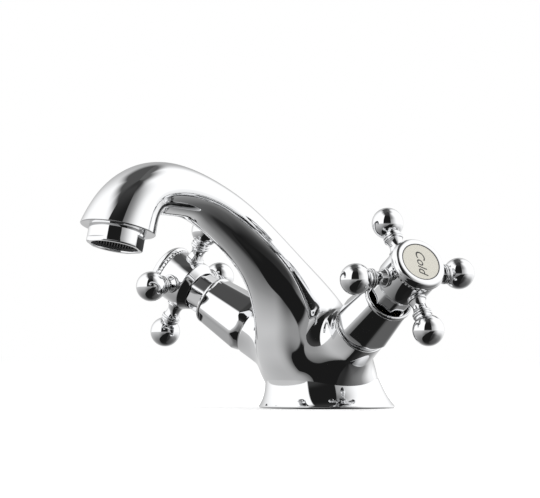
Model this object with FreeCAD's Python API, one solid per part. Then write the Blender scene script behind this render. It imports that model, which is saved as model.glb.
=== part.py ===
"""Deck-mounted basin mixer tap with two cross handles, as separate pieces on a bench.

Millimetres. +Z is up, -Y is the way the spout points, +X is the cold side.
The origin is the centre of the foot, on the surface that the tap stands on.
Lengths "along the axis" are measured along a valve, outwards from the tap's middle plane.
"""
import FreeCAD, Part
import math
import os

Vector = FreeCAD.Vector

QUARTER_TURN = 90.0
HALF_TURN = 180.0

# ---------------------------------------------------------------- foot
FOOT_LIP_R = 30.0          # widest radius of the foot, just above the deck
FOOT_LIP_Z = 1.0           # height of the widest radius
FOOT_UNDERCUT = 0.8        # how much smaller the edge on the deck is
SKIRT_HEIGHT = 12.0        # from the lip up to the crease where the body starts
SKIRT_DRAW_IN = 5.1        # how much smaller the crease is than the lip
SKIRT_LEAN = 2.9           # how far the crease sits forward of the foot's centre
SKIRT_WAIST = 0.9          # how hollow the skirt's side is
SKIRT_WAIST_SKEW = 0.8     # below 1, the hollow is deepest nearer the lip
SKIRT_LEAN_GROWTH = 1.5    # above 1, the lean grows towards the crease
FOOT_RIM = 2.6             # metal outside the rubber ring
SEAL_WIDTH = 3.4           # rubber ring let into the foot
SEAL_HEIGHT = 2.0
RECESS_RIM = 2.2           # metal between the rubber ring and the recess
RECESS_DEPTH = 6.0         # hollow under the foot

# ---------------------------------------------------------------- inlets and fixing stud
INLET_X = 9.0              # flexible tails screw in side by side
INLET_Y = -5.0
INLET_R = 5.0              # M10x1
INLET_DEPTH = 10.0
STUD_Y = 10.5              # fixing stud behind the tails
STUD_R = 4.0               # M8
STUD_DEPTH = 12.0
FEED_R = 2.8               # drilled way from each tail to its valve seat
CROSSWAY_R = 3.0           # drilled way that joins both valve chambers
RISER_R = 4.0              # drilled way from there into the spout

# ---------------------------------------------------------------- valve axes
AXIS_ROOT_Y = -3.5         # where both valve axes meet the middle plane
AXIS_ROOT_Z = 15.5
VALVE_TILT = 30.0          # degrees above level
VALVE_SWEEP = 14.4         # degrees towards the spout
COLD_REST_TURN = 3.9       # how far each cross stands from square when shut
HOT_REST_TURN = -6.6

# ---------------------------------------------------------------- valve socket in the body
SOCKET_END = 39.0          # along the axis, the socket's face
SOCKET_R = 12.2
SOCKET_ROOT_R = 17.0       # the arm widens towards the middle of the body
ARM_PROFILE = ((1.0, 0.0), (0.77, 0.07), (0.51, 0.3), (0.26, 0.64), (0.0, 1.0))
ARM_BLEND_R = 8.0          # hollow blend where each arm leaves the body
THREAD_R = 10.45           # G1/2 thread of the cartridge, drawn at its outer radius
THREAD_FIT = 0.05
THREAD_LENGTH = 9.2
CHAMBER_LENGTH = 2.4       # wider part below the thread, round the cartridge's windows
SOCKET_DEPTH = 21.0        # socket face to the seat that the water comes up through
POCKET_STEP = 0.95         # how much smaller the pocket is than the thread
POCKET_FIT = 0.1

# ---------------------------------------------------------------- ceramic cartridge
DISC_WALL = 1.3            # housing wall round the discs
DISC_PLAY = 0.1
DISC_THICKNESS = 3.0
DISC_GAP = 0.02            # film between the lapped faces
DISC_WINDOW_INNER_R = 2.2
DISC_WINDOW_RIM = 1.4      # ceramic left outside each window
DISC_WINDOW_SPAN = 80.0    # degrees
SEAT_SEAL_R = 6.9
SEAT_SEAL_BORE_R = 4.2
SEAT_SEAL_HEIGHT = 3.0
HOUSING_INSET = 0.4        # the housing stops short of the seat, so the seal takes the load
HOUSING_WINDOW_SPAN = 70.0  # degrees
DRIVER_THICKNESS = 2.6     # plate at the spindle's foot
DRIVER_INSET = 0.4
DRIVER_TONGUE_WIDTH = 2.0  # tongue that turns the upper disc
DRIVER_TONGUE_DEPTH = 1.0
DRIVER_TONGUE_END = 2.0    # how far the tongue stops short of the disc's edge
FLANGE_STEP = 0.55         # how much wider the flange is than the thread
FLANGE_THICKNESS = 1.5
FLANGE_RELIEF = 1.2
HEX_SET_IN = 1.2           # hexagon's corners inside the flange
HEX_HEIGHT = 6.5
BONNET_R = 7.5
BONNET_STANDS = 0.5        # how far the bonnet stands above the cover's web
STEM_R = 4.5
STEM_FIT = 0.05            # running fit of the stem in the bonnet
RING_SECTION_R = 0.62      # rubber rings on the stem
RING_FIT = 0.03
RING_GROOVE_WIDTH = 1.6
RING_DROP = 2.0            # first ring, below the hexagon's top
RING_SPACING = 4.0
SPLINE_STEP = 0.5          # how much smaller the spline is than the stem
SPLINE_TOOTH = 0.35
SPLINE_TEETH = 20
SPLINE_FIT = 0.06
CLIP_R = 6.0
CLIP_THICKNESS = 0.8
CLIP_GROOVE_DEPTH = 0.5
CLIP_MOUTH = 3.4           # width of the gap in the open retaining ring
SCREW_R = 2.0              # M4
SCREW_HOLE_FIT = 0.15
SCREW_HEAD_R = 3.6
SCREW_HEAD_HEIGHT = 2.6
SCREW_REACH = 11.0         # how far it goes into the spindle
SCREW_KEY_R = 1.45         # hexagon socket
SCREW_KEY_DEPTH = 1.6
FIT = 0.05                 # gap left between screwed or seated pieces

# ---------------------------------------------------------------- cover over the cartridge
COVER_GROOVE = 0.6         # groove between the body and the cover
COVER_CHAMFER = 4.0        # length of the drawn-in lower end
COVER_LENGTH = 26.0
COVER_PLAY = 0.15          # round the cartridge's flange
COVER_EDGE = 0.35          # wall at the lower edge
COVER_WALL = 1.2           # wall at the wide end
COVER_TAPER = 1.9          # how much each flat comes in towards the mouth
COVER_FACETS = 8
COVER_CORNER_TRIM = 0.28   # how far the corners are rounded off
COVER_BEAD_R = 1.1         # bead round the mouth
COVER_BEAD_STANDS = 0.8    # how far the bead stands out from the flats
COVER_BEAD_ROUND = 0.65    # share of the bead's height that its crown takes
COVER_HOLLOW_TAPER = 0.7   # share of the flats' taper that the hollow inside has
COVER_MOUTH_WALL = 0.6
COVER_MOUTH_DEPTH = 5.6    # hollow that the handle's collar turns in
COVER_WEB_THICKNESS = 4.0

# ---------------------------------------------------------------- cross handle
HUB_GAP = 7.8              # from the cover's mouth to the hub, where the collar shows
HUB_TAPER_LENGTH = 3.2
HUB_TAPER = 2.0            # how much smaller the hub is at its lower end
HUB_R = 11.5
HUB_EDGE = 0.4
HUB_HEIGHT = 12.4
HUB_WALL = 2.5             # round the cavity under the index cap
HUB_CAVITY_DEPTH = 5.0
COLLAR_SIDES = 8           # eight-sided collar that reaches into the cover
COLLAR_PLAY = 0.81         # between its corners and the cover's mouth
COLLAR_LIFT = 0.6          # above the retaining ring
SPINDLE_DROP = 3.0         # the spindle ends this far below the cross
CROSS_RISE = 5.4           # plane of the four spokes, above the hub's taper
SPOKES = 4
SPOKE_REACH = 26.27        # axis to the ball's centre
BALL_R = 6.69
SPOKE_NECK_R = 2.9
SPOKE_NECK_FROM = 3.0      # out of the hub, where the boss has run out into the neck
SPOKE_BOSS_R = 4.2
SPOKE_BOSS_LENGTH = 1.2
SPOKE_BOSS_SEAT = 0.6      # how deep each boss is let into the hub
SPOKE_BEAD_R = 4.2         # double bead next to the ball
SPOKE_BEAD_ROOT_R = 3.65
SPOKE_BEAD_WIDTH = 1.2
SPOKE_BEAD_TUCK = 0.35     # how far the inner bead reaches over the ball
SPOKE_STUD_R = 2.3         # pin that holds each spoke in the hub
SPOKE_STUD_LENGTH = 1.9
CORNER = 0.3               # small rounding of turned edges

# ---------------------------------------------------------------- index cap
CAP_OVERHANG = 0.75        # how much wider the cap is than the hub
CAP_HEIGHT = 4.85
CAP_SHOULDER = 1.15        # from the knurl to the widest place
CAP_SLOPE = 2.55           # how far the top slopes in
CAP_EDGE_IN = 0.44         # roll of the edge above the widest place
CAP_EDGE_RISE = 0.88
CAP_BREAK = 0.57           # share of the slope where it turns into the rim
CAP_RIM = 0.9              # flat rim round the index disc
CAP_WEB = 1.2              # floor under the disc
CAP_SKIRT_LENGTH = 3.2     # screws into the hub's cavity
CAP_SKIRT_WALL = 1.4
KNURL_SET_IN = 0.25
KNURL_DEPTH = 0.35
KNURL_HEIGHT = 1.1
KNURL_COUNT = 48
INDEX_GAP = 0.16           # round the printed index disc
INDEX_THICKNESS = 1.6
INDEX_SET_BACK = 0.15

# ---------------------------------------------------------------- spout
# Each station: top point (y, z), underside point (y, z), half width, squareness.
SPOUT_STATIONS = (
    ((-138.6, 79.1), (-107.6, 71.5), 15.95, 2.0),
    ((-135.2, 84.2), (-106.2, 77.3), 15.4, 2.0),
    ((-128.7, 91.9), (-105.0, 80.6), 15.0, 2.0),
    ((-119.3, 98.9), (-103.6, 81.9), 14.9, 2.05),
    ((-106.5, 103.7), (-98.5, 82.2), 14.8, 2.1),
    ((-90.0, 103.2), (-89.5, 81.9), 14.3, 2.15),
    ((-71.6, 97.2), (-79.2, 80.2), 14.0, 2.2),
    ((-47.0, 84.0), (-57.7, 67.9), 14.2, 2.2),
    ((-21.5, 65.3), (-41.3, 51.3), 15.6, 2.15),
    ((0.5, 48.5), (-37.6, 36.4), 17.6, 2.1),
    ((14.0, 33.0), (-36.8, 26.5), 20.0, 2.0),
    ((20.0, 20.5), (-33.0, 18.5), 22.6, 2.0),
)
BODY_STEP = 0.35           # the body is this much smaller than the crease
BODY_DIP = 1.0             # how far below the crease that is measured
BODY_ROOT_R = 20.0         # the body narrows again inside the skirt
BODY_ROOT_Y = -1.5
BODY_ROOT_Z = 0.5
SECTION_POINTS = 16
SEAM_TOLERANCE = 0.001
WATERWAY_WALL = 3.4        # spout wall round the waterway
WATERWAY_FIRST = 3         # stations that the waterway runs through
WATERWAY_LAST = 9

# ---------------------------------------------------------------- outlet
OUTLET_R = 12.0            # M24x1 thread
OUTLET_DEPTH = 9.0
OUTLET_SHOULDER = 2.8      # step that the washer seats on
OUTLET_BORE_LENGTH = 9.0   # way above the thread
SLEEVE_SHOWS = 7.4         # how far the aerator stands below the nose
SLEEVE_CHAMFER = 0.6
SLEEVE_WALL = 1.75
SLEEVE_LIP = 0.4           # inward lip that holds the insert
SLEEVE_FLAT_CUT = 1.1      # depth of each wrench flat
SLEEVE_FLATS = ((0.0, 1.8), (60.0, 5.2))  # degrees round from the front, and height, of each pair
SLEEVE_THREAD_LENGTH = 6.4
INSERT_SET_BACK = 1.2
INSERT_HEIGHT = 10.0
INSERT_RIM = 1.1
SLAT_PITCH = 1.15
SLAT_GAP = 0.6
SLAT_DEPTH = 3.0
OUTLET_WASHER_HEIGHT = 1.8

# ---------------------------------------------------------------- sizes that follow
FOOT_EDGE_R = FOOT_LIP_R - FOOT_UNDERCUT
SEAL_OUTER_R = FOOT_EDGE_R - FOOT_RIM
SEAL_INNER_R = SEAL_OUTER_R - SEAL_WIDTH
RECESS_R = SEAL_INNER_R - RECESS_RIM
SKIRT_TOP_R = FOOT_LIP_R - SKIRT_DRAW_IN
SKIRT_TOP_Z = FOOT_LIP_Z + SKIRT_HEIGHT

POCKET_R = THREAD_R - POCKET_STEP
HOUSING_R = POCKET_R - POCKET_FIT
DISC_R = HOUSING_R - DISC_WALL - DISC_PLAY
FLANGE_R = THREAD_R + FLANGE_STEP
HEX_CORNER_R = FLANGE_R - HEX_SET_IN
RING_GROOVE_R = STEM_R + STEM_FIT - 2 * (RING_SECTION_R + RING_FIT)
SPLINE_R = STEM_R - SPLINE_STEP
SPLINE_ROOT_R = SPLINE_R - SPLINE_TOOTH
CLIP_GROOVE_R = SPLINE_ROOT_R - CLIP_GROOVE_DEPTH
COVER_INNER_R = FLANGE_R + COVER_PLAY
COVER_FOOT_R = COVER_INNER_R + COVER_EDGE
COVER_WIDE_FLAT_R = COVER_INNER_R + COVER_WALL
COVER_MOUTH_FLAT_R = COVER_WIDE_FLAT_R - COVER_TAPER
COVER_MOUTH_R = COVER_MOUTH_FLAT_R - COVER_MOUTH_WALL
COLLAR_CORNER_R = COVER_MOUTH_R - COLLAR_PLAY
HUB_CAVITY_R = HUB_R - HUB_WALL
CAP_R = HUB_R + CAP_OVERHANG
CAP_RIM_R = CAP_R - CAP_SLOPE
CAP_SKIRT_R = HUB_CAVITY_R - FIT
KNURL_R = CAP_R - KNURL_SET_IN
INDEX_R = CAP_RIM_R - CAP_RIM - INDEX_GAP
OUTLET_BORE_R = OUTLET_R - OUTLET_SHOULDER
SLEEVE_INNER_R = OUTLET_R - SLEEVE_WALL
SLEEVE_LIP_R = SLEEVE_INNER_R - SLEEVE_LIP
SLEEVE_FLAT_R = OUTLET_R - SLEEVE_FLAT_CUT

# Levels along a valve's axis, from the seat outwards.
SEAT_AT = SOCKET_END - SOCKET_DEPTH
THREAD_FROM = SOCKET_END - THREAD_LENGTH
HOUSING_FROM = SEAT_AT + HOUSING_INSET
SEAL_TOP = SEAT_AT + SEAT_SEAL_HEIGHT
FIXED_TOP = SEAL_TOP + DISC_THICKNESS
MOVING_FROM = FIXED_TOP + DISC_GAP
MOVING_TOP = MOVING_FROM + DISC_THICKNESS
DRIVER_FROM = MOVING_TOP + DISC_GAP
DRIVER_TOP = DRIVER_FROM + DRIVER_THICKNESS
FLANGE_FROM = SOCKET_END + FIT
HEX_FROM = FLANGE_FROM + FLANGE_THICKNESS
HEX_TOP = HEX_FROM + HEX_HEIGHT
RINGS_AT = (HEX_TOP - RING_DROP, HEX_TOP - RING_DROP + RING_SPACING)
COVER_FOOT_AT = SOCKET_END + COVER_GROOVE
COVER_WIDE_AT = COVER_FOOT_AT + COVER_CHAMFER
COVER_MOUTH_AT = COVER_FOOT_AT + COVER_LENGTH
COVER_WEB_TOP = COVER_MOUTH_AT - COVER_MOUTH_DEPTH
COVER_WEB_FROM = COVER_WEB_TOP - COVER_WEB_THICKNESS
BONNET_TOP = COVER_WEB_TOP + BONNET_STANDS
CLIP_FROM = BONNET_TOP + DISC_PLAY
CLIP_TOP = CLIP_FROM + CLIP_THICKNESS
COLLAR_FROM = CLIP_TOP + COLLAR_LIFT
HUB_FROM = COVER_MOUTH_AT + HUB_GAP
HUB_WIDE_AT = HUB_FROM + HUB_TAPER_LENGTH
HUB_TOP = HUB_WIDE_AT + HUB_HEIGHT
HUB_CAVITY_FLOOR = HUB_TOP - HUB_CAVITY_DEPTH
CROSS_AT = HUB_WIDE_AT + CROSS_RISE
SPINDLE_TOP = CROSS_AT - SPINDLE_DROP
CAP_FROM = HUB_TOP + FIT
CAP_TOP = CAP_FROM + CAP_HEIGHT
CAP_WIDE_AT = CAP_FROM + KNURL_HEIGHT + CAP_SHOULDER
INDEX_TOP = CAP_TOP - INDEX_SET_BACK
INDEX_FROM = INDEX_TOP - INDEX_THICKNESS

SIDES = {"cold": 1.0, "hot": -1.0}
REST_TURN = {"cold": COLD_REST_TURN, "hot": HOT_REST_TURN}


# ================================================================ helpers
def point(radius, along):
    return Vector(radius, 0.0, along)


def outline(start, *steps):
    """Closed flat outline of (radius, along) points; a step of two points is an arc."""
    edges = []
    here = point(*start)
    for step in steps:
        if isinstance(step[0], tuple):
            end = point(*step[1])
            edges.append(Part.Arc(here, point(*step[0]), end).toShape())
        else:
            end = point(*step)
            edges.append(Part.makeLine(here, end))
        here = end
    first = point(*start)
    if here.distanceToPoint(first) > 1e-6:
        edges.append(Part.makeLine(here, first))
    return Part.Face(Part.Wire(edges))


def turned(start, *steps):
    """Solid turned about the local Z axis from a closed outline."""
    return outline(start, *steps).revolve(Vector(), Vector(0, 0, 1), 360)


def cylinder(radius, low, high):
    return Part.makeCylinder(radius, high - low, Vector(0, 0, low))


def ring(inner, outer, low, high):
    return cylinder(outer, low, high).cut(cylinder(inner, low - 1.0, high + 1.0))


def polygon(corner_radius, sides, along):
    """Closed wire of a regular polygon round the local Z axis, with a flat facing local X."""
    corners = []
    for number in range(sides + 1):
        angle = 2.0 * math.pi * (number + 0.5) / sides
        corners.append(Vector(corner_radius * math.cos(angle), corner_radius * math.sin(angle), along))
    return Part.makePolygon(corners)


def prism(corner_radius, sides, low, high):
    """Regular prism, given from its centre to its corners."""
    return Part.Face(polygon(corner_radius, sides, low)).extrude(Vector(0, 0, high - low))


def toothed(outer, root, teeth, low, high):
    """Prism with pointed teeth, for splines and knurls."""
    corners = []
    for number in range(2 * teeth + 1):
        angle = math.pi * number / teeth
        radius = root if number % 2 else outer
        corners.append(Vector(radius * math.cos(angle), radius * math.sin(angle), low))
    return Part.Face(Part.makePolygon(corners)).extrude(Vector(0, 0, high - low))


def sector(inner, outer, span, middle, low, high):
    """Wedge of a ring, for a window in a disc."""
    wedge = Part.makeCylinder(outer, high - low, Vector(0, 0, low), Vector(0, 0, 1), span)
    wedge = wedge.cut(cylinder(inner, low - 1.0, high + 1.0))
    wedge.rotate(Vector(), Vector(0, 0, 1), middle - span / 2.0)
    return wedge


def across(half_length, width, low, high):
    """Bar that lies across the local Z axis along local X."""
    return Part.makeBox(2 * half_length, width, high - low, Vector(-half_length, -width / 2.0, low))


def valve_axis(side):
    """Unit vector along a valve, pointing out of the body."""
    tilt = math.radians(VALVE_TILT)
    sweep = math.radians(VALVE_SWEEP)
    return Vector(
        SIDES[side] * math.cos(tilt) * math.cos(sweep),
        -math.cos(tilt) * math.sin(sweep),
        math.sin(tilt),
    )


def axis_point(side, along):
    return Vector(0, AXIS_ROOT_Y, AXIS_ROOT_Z) + valve_axis(side) * along


def on_valve(shape, side, turn=0.0):
    """Places a shape drawn about local Z on a valve's axis; local X ends up on top."""
    out = valve_axis(side)
    level = Vector(0, 0, 1).cross(out).normalize()
    top = out.cross(level)
    third = out.cross(top)
    root = Vector(0, AXIS_ROOT_Y, AXIS_ROOT_Z)
    matrix = FreeCAD.Matrix(
        top.x, third.x, out.x, root.x,
        top.y, third.y, out.y, root.y,
        top.z, third.z, out.z, root.z,
        0, 0, 0, 1,
    )
    placed = shape.copy()
    placed.rotate(Vector(), Vector(0, 0, 1), turn)
    placed.Placement = FreeCAD.Placement(matrix).multiply(placed.Placement)
    return placed


def nose_frame():
    """Centre of the nose's lower face and the way that the water leaves it."""
    front, back = SPOUT_STATIONS[0][0], SPOUT_STATIONS[0][1]
    centre = Vector(0, (front[0] + back[0]) / 2.0, (front[1] + back[1]) / 2.0)
    lip = Vector(0, back[0] - front[0], back[1] - front[1]).normalize()
    return centre, Vector(1, 0, 0).cross(lip).normalize() * -1.0


def at_nose(shape):
    """Places a shape drawn about local Z, where +Z is the way that the water leaves."""
    centre, out = nose_frame()
    turn = FreeCAD.Rotation(Vector(0, 0, 1), out)
    placed = shape.copy()
    placed.Placement = FreeCAD.Placement(centre, turn).multiply(placed.Placement)
    return placed


def save(name, shape):
    shape.exportStep(os.path.join("parts", name + ".step"))


# ================================================================ body casting
def round_station(radius, middle_y, level):
    """Station of the body's round foot, in the form that SPOUT_STATIONS has."""
    return ((middle_y + radius, level), (middle_y - radius, level), radius, 2.0)


def body_stations():
    """All stations from the nose down into the skirt."""
    crease = round_station(SKIRT_TOP_R - BODY_STEP, -SKIRT_LEAN, SKIRT_TOP_Z - BODY_DIP)
    root = round_station(BODY_ROOT_R, BODY_ROOT_Y, BODY_ROOT_Z)
    return list(SPOUT_STATIONS) + [crease, root]


def station_centre(station):
    top, under = station[0], station[1]
    return Vector(0, (top[0] + under[0]) / 2.0, (top[1] + under[1]) / 2.0)


def spout_section(station, inset=0.0):
    """Smooth closed curve across the spout, from its underside round to its underside."""
    top, under, half_width, squareness = station
    centre = station_centre(station)
    rise = Vector(0, (top[0] - under[0]) / 2.0, (top[1] - under[1]) / 2.0)
    half_height = rise.Length
    rise.normalize()
    power = 2.0 / squareness
    points = []
    for number in range(SECTION_POINTS):
        angle = 2.0 * math.pi * number / SECTION_POINTS - math.pi / 2.0
        sideways = math.copysign(abs(math.cos(angle)) ** power, math.cos(angle))
        upwards = math.copysign(abs(math.sin(angle)) ** power, math.sin(angle))
        aside = Vector(sideways * (half_width - inset), 0, 0)
        points.append(centre + aside + rise * (upwards * (half_height - inset)))
    curve = Part.BSplineCurve()
    curve.interpolate(Points=points, PeriodicFlag=True, Parameters=list(range(SECTION_POINTS + 1)))
    return curve


def skinned(curves):
    """Solid with one smooth skin through closed curves that share their knots, and flat ends."""
    travel = [0.0]
    for before, after in zip(curves, curves[1:]):
        steps = [a.distanceToPoint(b) for a, b in zip(before.getPoles(), after.getPoles())]
        travel.append(travel[-1] + sum(steps) / len(steps))
    strands = []
    for number in range(curves[0].NbPoles):
        strand = Part.BSplineCurve()
        strand.interpolate(Points=[curve.getPole(number + 1) for curve in curves], Parameters=travel)
        strands.append(strand)
    first = strands[0]
    round_curve = curves[0]
    poles = [[strand.getPole(row + 1) for strand in strands] for row in range(first.NbPoles)]
    skin = Part.BSplineSurface()
    skin.buildFromPolesMultsKnots(
        poles, first.getMultiplicities(), round_curve.getMultiplicities(),
        first.getKnots(), round_curve.getKnots(), False, True, first.Degree, round_curve.Degree)
    ends = [Part.Face(Part.Wire(curve.toShape())) for curve in (curves[0], curves[-1])]
    shell = Part.makeShell([skin.toShape()] + ends)
    shell.sewShape()
    solid = Part.makeSolid(shell)
    if solid.Volume < 0:
        solid.reverse()
    return solid


def foot_skirt():
    """Lip and hollow-sided skirt, leaning forward as it rises."""
    edge = Part.makeCone(FOOT_EDGE_R, FOOT_LIP_R, FOOT_LIP_Z)
    rings = []
    levels = 5
    for number in range(levels):
        share = number / (levels - 1.0)
        straight = FOOT_LIP_R - share * SKIRT_DRAW_IN
        radius = straight - SKIRT_WAIST * math.sin(math.pi * share ** SKIRT_WAIST_SKEW)
        centre = Vector(0, -SKIRT_LEAN * share ** SKIRT_LEAN_GROWTH, FOOT_LIP_Z + share * SKIRT_HEIGHT)
        rings.append(Part.Wire(Part.makeCircle(radius, centre)))
    return edge.fuse(Part.makeLoft(rings, True, False))


def socket_arm(side):
    """Arm that carries one valve, widening into the middle of the body."""
    rings = []
    for along, share in ARM_PROFILE:
        radius = SOCKET_R + share * (SOCKET_ROOT_R - SOCKET_R)
        rings.append(Part.Wire(Part.makeCircle(radius, Vector(0, 0, along * SOCKET_END))))
    return on_valve(Part.makeLoft(rings, True, False), side)


def valve_cavity(side):
    """Stepped bore for one cartridge, with the chamber round its windows."""
    pocket = cylinder(POCKET_R, SEAT_AT, SOCKET_END)
    thread = cylinder(THREAD_R + THREAD_FIT, THREAD_FROM - CHAMBER_LENGTH, SOCKET_END + 1.0)
    return on_valve(pocket.fuse(thread), side)


def feed_way(side):
    """Threaded inlet under the foot and the drilled way from it to the seat."""
    inlet = Vector(SIDES[side] * INLET_X, INLET_Y, 0.0)
    inlet_hole = Part.makeCylinder(INLET_R, RECESS_DEPTH + INLET_DEPTH, inlet)
    start = Vector(inlet.x, inlet.y, RECESS_DEPTH + INLET_DEPTH - FEED_R)
    finish = axis_point(side, SEAT_AT + HOUSING_INSET)
    drilled = Part.makeCylinder(FEED_R, start.distanceToPoint(finish), start, finish - start)
    return inlet_hole.fuse(drilled)


def seams(joined, first, second):
    """Edges of a joined solid that lie on the skins of both of its pieces."""
    found = []
    for edge in joined.Edges:
        half_way = (edge.FirstParameter + edge.LastParameter) / 2.0
        middle = Part.Vertex(edge.valueAt(half_way))
        if all(middle.distToShape(piece.Shells[0])[0] < SEAM_TOLERANCE for piece in (first, second)):
            found.append(edge)
    return found


def outer_form():
    """Spout and both arms, blended into each other, standing in the skirt."""
    spout = skinned([spout_section(station) for station in body_stations()])
    form = spout
    arms = [socket_arm(side) for side in SIDES]
    for arm in arms:
        form = form.fuse(arm)
    blended = []
    for arm in arms:
        blended += seams(form, spout, arm)
    form = form.makeFillet(ARM_BLEND_R, blended)
    return form.fuse(foot_skirt())


def drilled_between(radius, start, finish):
    return Part.makeCylinder(radius, start.distanceToPoint(finish), start, finish - start)


def waterway():
    """Way that joins both valve chambers, rises into the spout and follows it to the nose."""
    stations = SPOUT_STATIONS[WATERWAY_FIRST:WATERWAY_LAST + 1]
    inside = skinned([spout_section(one, WATERWAY_WALL) for one in stations])
    chambers = [axis_point(side, THREAD_FROM - CHAMBER_LENGTH / 2.0) for side in SIDES]
    crossway = drilled_between(CROSSWAY_R, chambers[0], chambers[1])
    lowest, next_up = stations[-1], stations[-2]
    rise_to = (station_centre(lowest) + station_centre(next_up)) * 0.5
    riser = drilled_between(RISER_R, (chambers[0] + chambers[1]) * 0.5, rise_to)
    return [inside, crossway, riser]


def body_casting():
    hollow = Part.makeCylinder(RECESS_R, RECESS_DEPTH)
    groove = ring(SEAL_INNER_R - FIT, SEAL_OUTER_R + FIT, 0.0, SEAL_HEIGHT + FIT)
    stud = Part.makeCylinder(STUD_R, RECESS_DEPTH + STUD_DEPTH, Vector(0, STUD_Y, 0))
    outlet = cylinder(OUTLET_R + FIT, -OUTLET_DEPTH, 1.0)
    outlet = outlet.fuse(cylinder(OUTLET_BORE_R, -OUTLET_DEPTH - OUTLET_BORE_LENGTH, 0.0))
    cuts = [hollow, groove, stud, at_nose(outlet)]
    for side in SIDES:
        cuts.append(valve_cavity(side))
        cuts.append(feed_way(side))
    cuts += waterway()

    casting = outer_form()
    for cut in cuts:
        casting = casting.cut(cut)
    return casting.removeSplitter()


def base_seal():
    return ring(SEAL_INNER_R, SEAL_OUTER_R, 0.0, SEAL_HEIGHT)


# ================================================================ outlet
def aerator_sleeve():
    """Screwed sleeve with its wrench flats."""
    mouth = SLEEVE_SHOWS
    body = turned(
        (SLEEVE_LIP_R, mouth), (OUTLET_R - SLEEVE_CHAMFER, mouth), (OUTLET_R, mouth - SLEEVE_CHAMFER),
        (OUTLET_R, -SLEEVE_THREAD_LENGTH), (SLEEVE_INNER_R, -SLEEVE_THREAD_LENGTH),
        (SLEEVE_INNER_R, mouth - INSERT_SET_BACK), (SLEEVE_LIP_R, mouth - INSERT_SET_BACK),
    )
    for turn, height in SLEEVE_FLATS:
        kept = across(2 * OUTLET_R, 2 * SLEEVE_FLAT_R, mouth - height, mouth + 1.0)
        waste = cylinder(2 * OUTLET_R, mouth - height, mouth + 1.0).cut(kept)
        waste.rotate(Vector(), Vector(0, 0, 1), turn)
        body = body.cut(waste)
    return at_nose(body)


def aerator_insert():
    """Slatted insert behind the sleeve's lip."""
    high = SLEEVE_SHOWS - INSERT_SET_BACK - FIT
    body = cylinder(SLEEVE_INNER_R - FIT, high - INSERT_HEIGHT, high)
    usable = SLEEVE_LIP_R - INSERT_RIM
    count = int(2 * usable / SLAT_PITCH)
    mask = cylinder(usable, high - SLAT_DEPTH, high + 1.0)
    for number in range(count):
        slot = across(OUTLET_R, SLAT_GAP, high - SLAT_DEPTH, high + 1.0)
        slot.translate(Vector(0, (number - (count - 1) / 2.0) * SLAT_PITCH, 0))
        body = body.cut(slot.common(mask))
    return at_nose(body)


def aerator_washer():
    high = -SLEEVE_THREAD_LENGTH - FIT
    return at_nose(ring(OUTLET_BORE_R, OUTLET_R - FIT, high - OUTLET_WASHER_HEIGHT, high))


# ================================================================ cartridge
def cartridge_body():
    """Brass housing: disc pocket, thread, flange, hexagon and bonnet."""
    shape = cylinder(HOUSING_R, HOUSING_FROM, SOCKET_END)
    shape = shape.fuse(cylinder(THREAD_R, THREAD_FROM, SOCKET_END))
    shape = shape.fuse(cylinder(FLANGE_R - FLANGE_RELIEF, SOCKET_END - FIT, FLANGE_FROM + FIT))
    shape = shape.fuse(cylinder(FLANGE_R, FLANGE_FROM, HEX_FROM))
    shape = shape.fuse(prism(HEX_CORNER_R, 6, HEX_FROM, HEX_TOP))
    shape = shape.fuse(cylinder(BONNET_R, HEX_TOP, BONNET_TOP))
    shape = shape.cut(cylinder(DISC_R + DISC_PLAY, SEAT_AT, DRIVER_TOP + DISC_PLAY))
    shape = shape.cut(cylinder(STEM_R + STEM_FIT, SEAT_AT, BONNET_TOP + 1.0))
    for middle in (0.0, HALF_TURN):
        shape = shape.cut(sector(
            DISC_R - 1.0, THREAD_R + 1.0, HOUSING_WINDOW_SPAN, middle, DRIVER_FROM, DRIVER_TOP))
    return shape.removeSplitter()


def seat_seal():
    return ring(SEAT_SEAL_BORE_R, SEAT_SEAL_R, SEAT_AT, SEAL_TOP)


def windowed_disc(low, high, turn):
    shape = cylinder(DISC_R, low, high)
    outer = DISC_R - DISC_WINDOW_RIM
    for middle in (turn, turn + HALF_TURN):
        shape = shape.cut(sector(
            DISC_WINDOW_INNER_R, outer, DISC_WINDOW_SPAN, middle, low - 1.0, high + 1.0))
    return shape


def fixed_disc():
    return windowed_disc(SEAL_TOP, FIXED_TOP, 0.0)


def moving_disc():
    """Upper disc; its windows stand a quarter turn off the lower ones when shut."""
    shape = windowed_disc(MOVING_FROM, MOVING_TOP, QUARTER_TURN)
    slot_floor = MOVING_TOP - DRIVER_TONGUE_DEPTH - FIT
    return shape.cut(across(DISC_R + 1.0, DRIVER_TONGUE_WIDTH + 2 * FIT, slot_floor, MOVING_TOP + 1.0))


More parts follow.
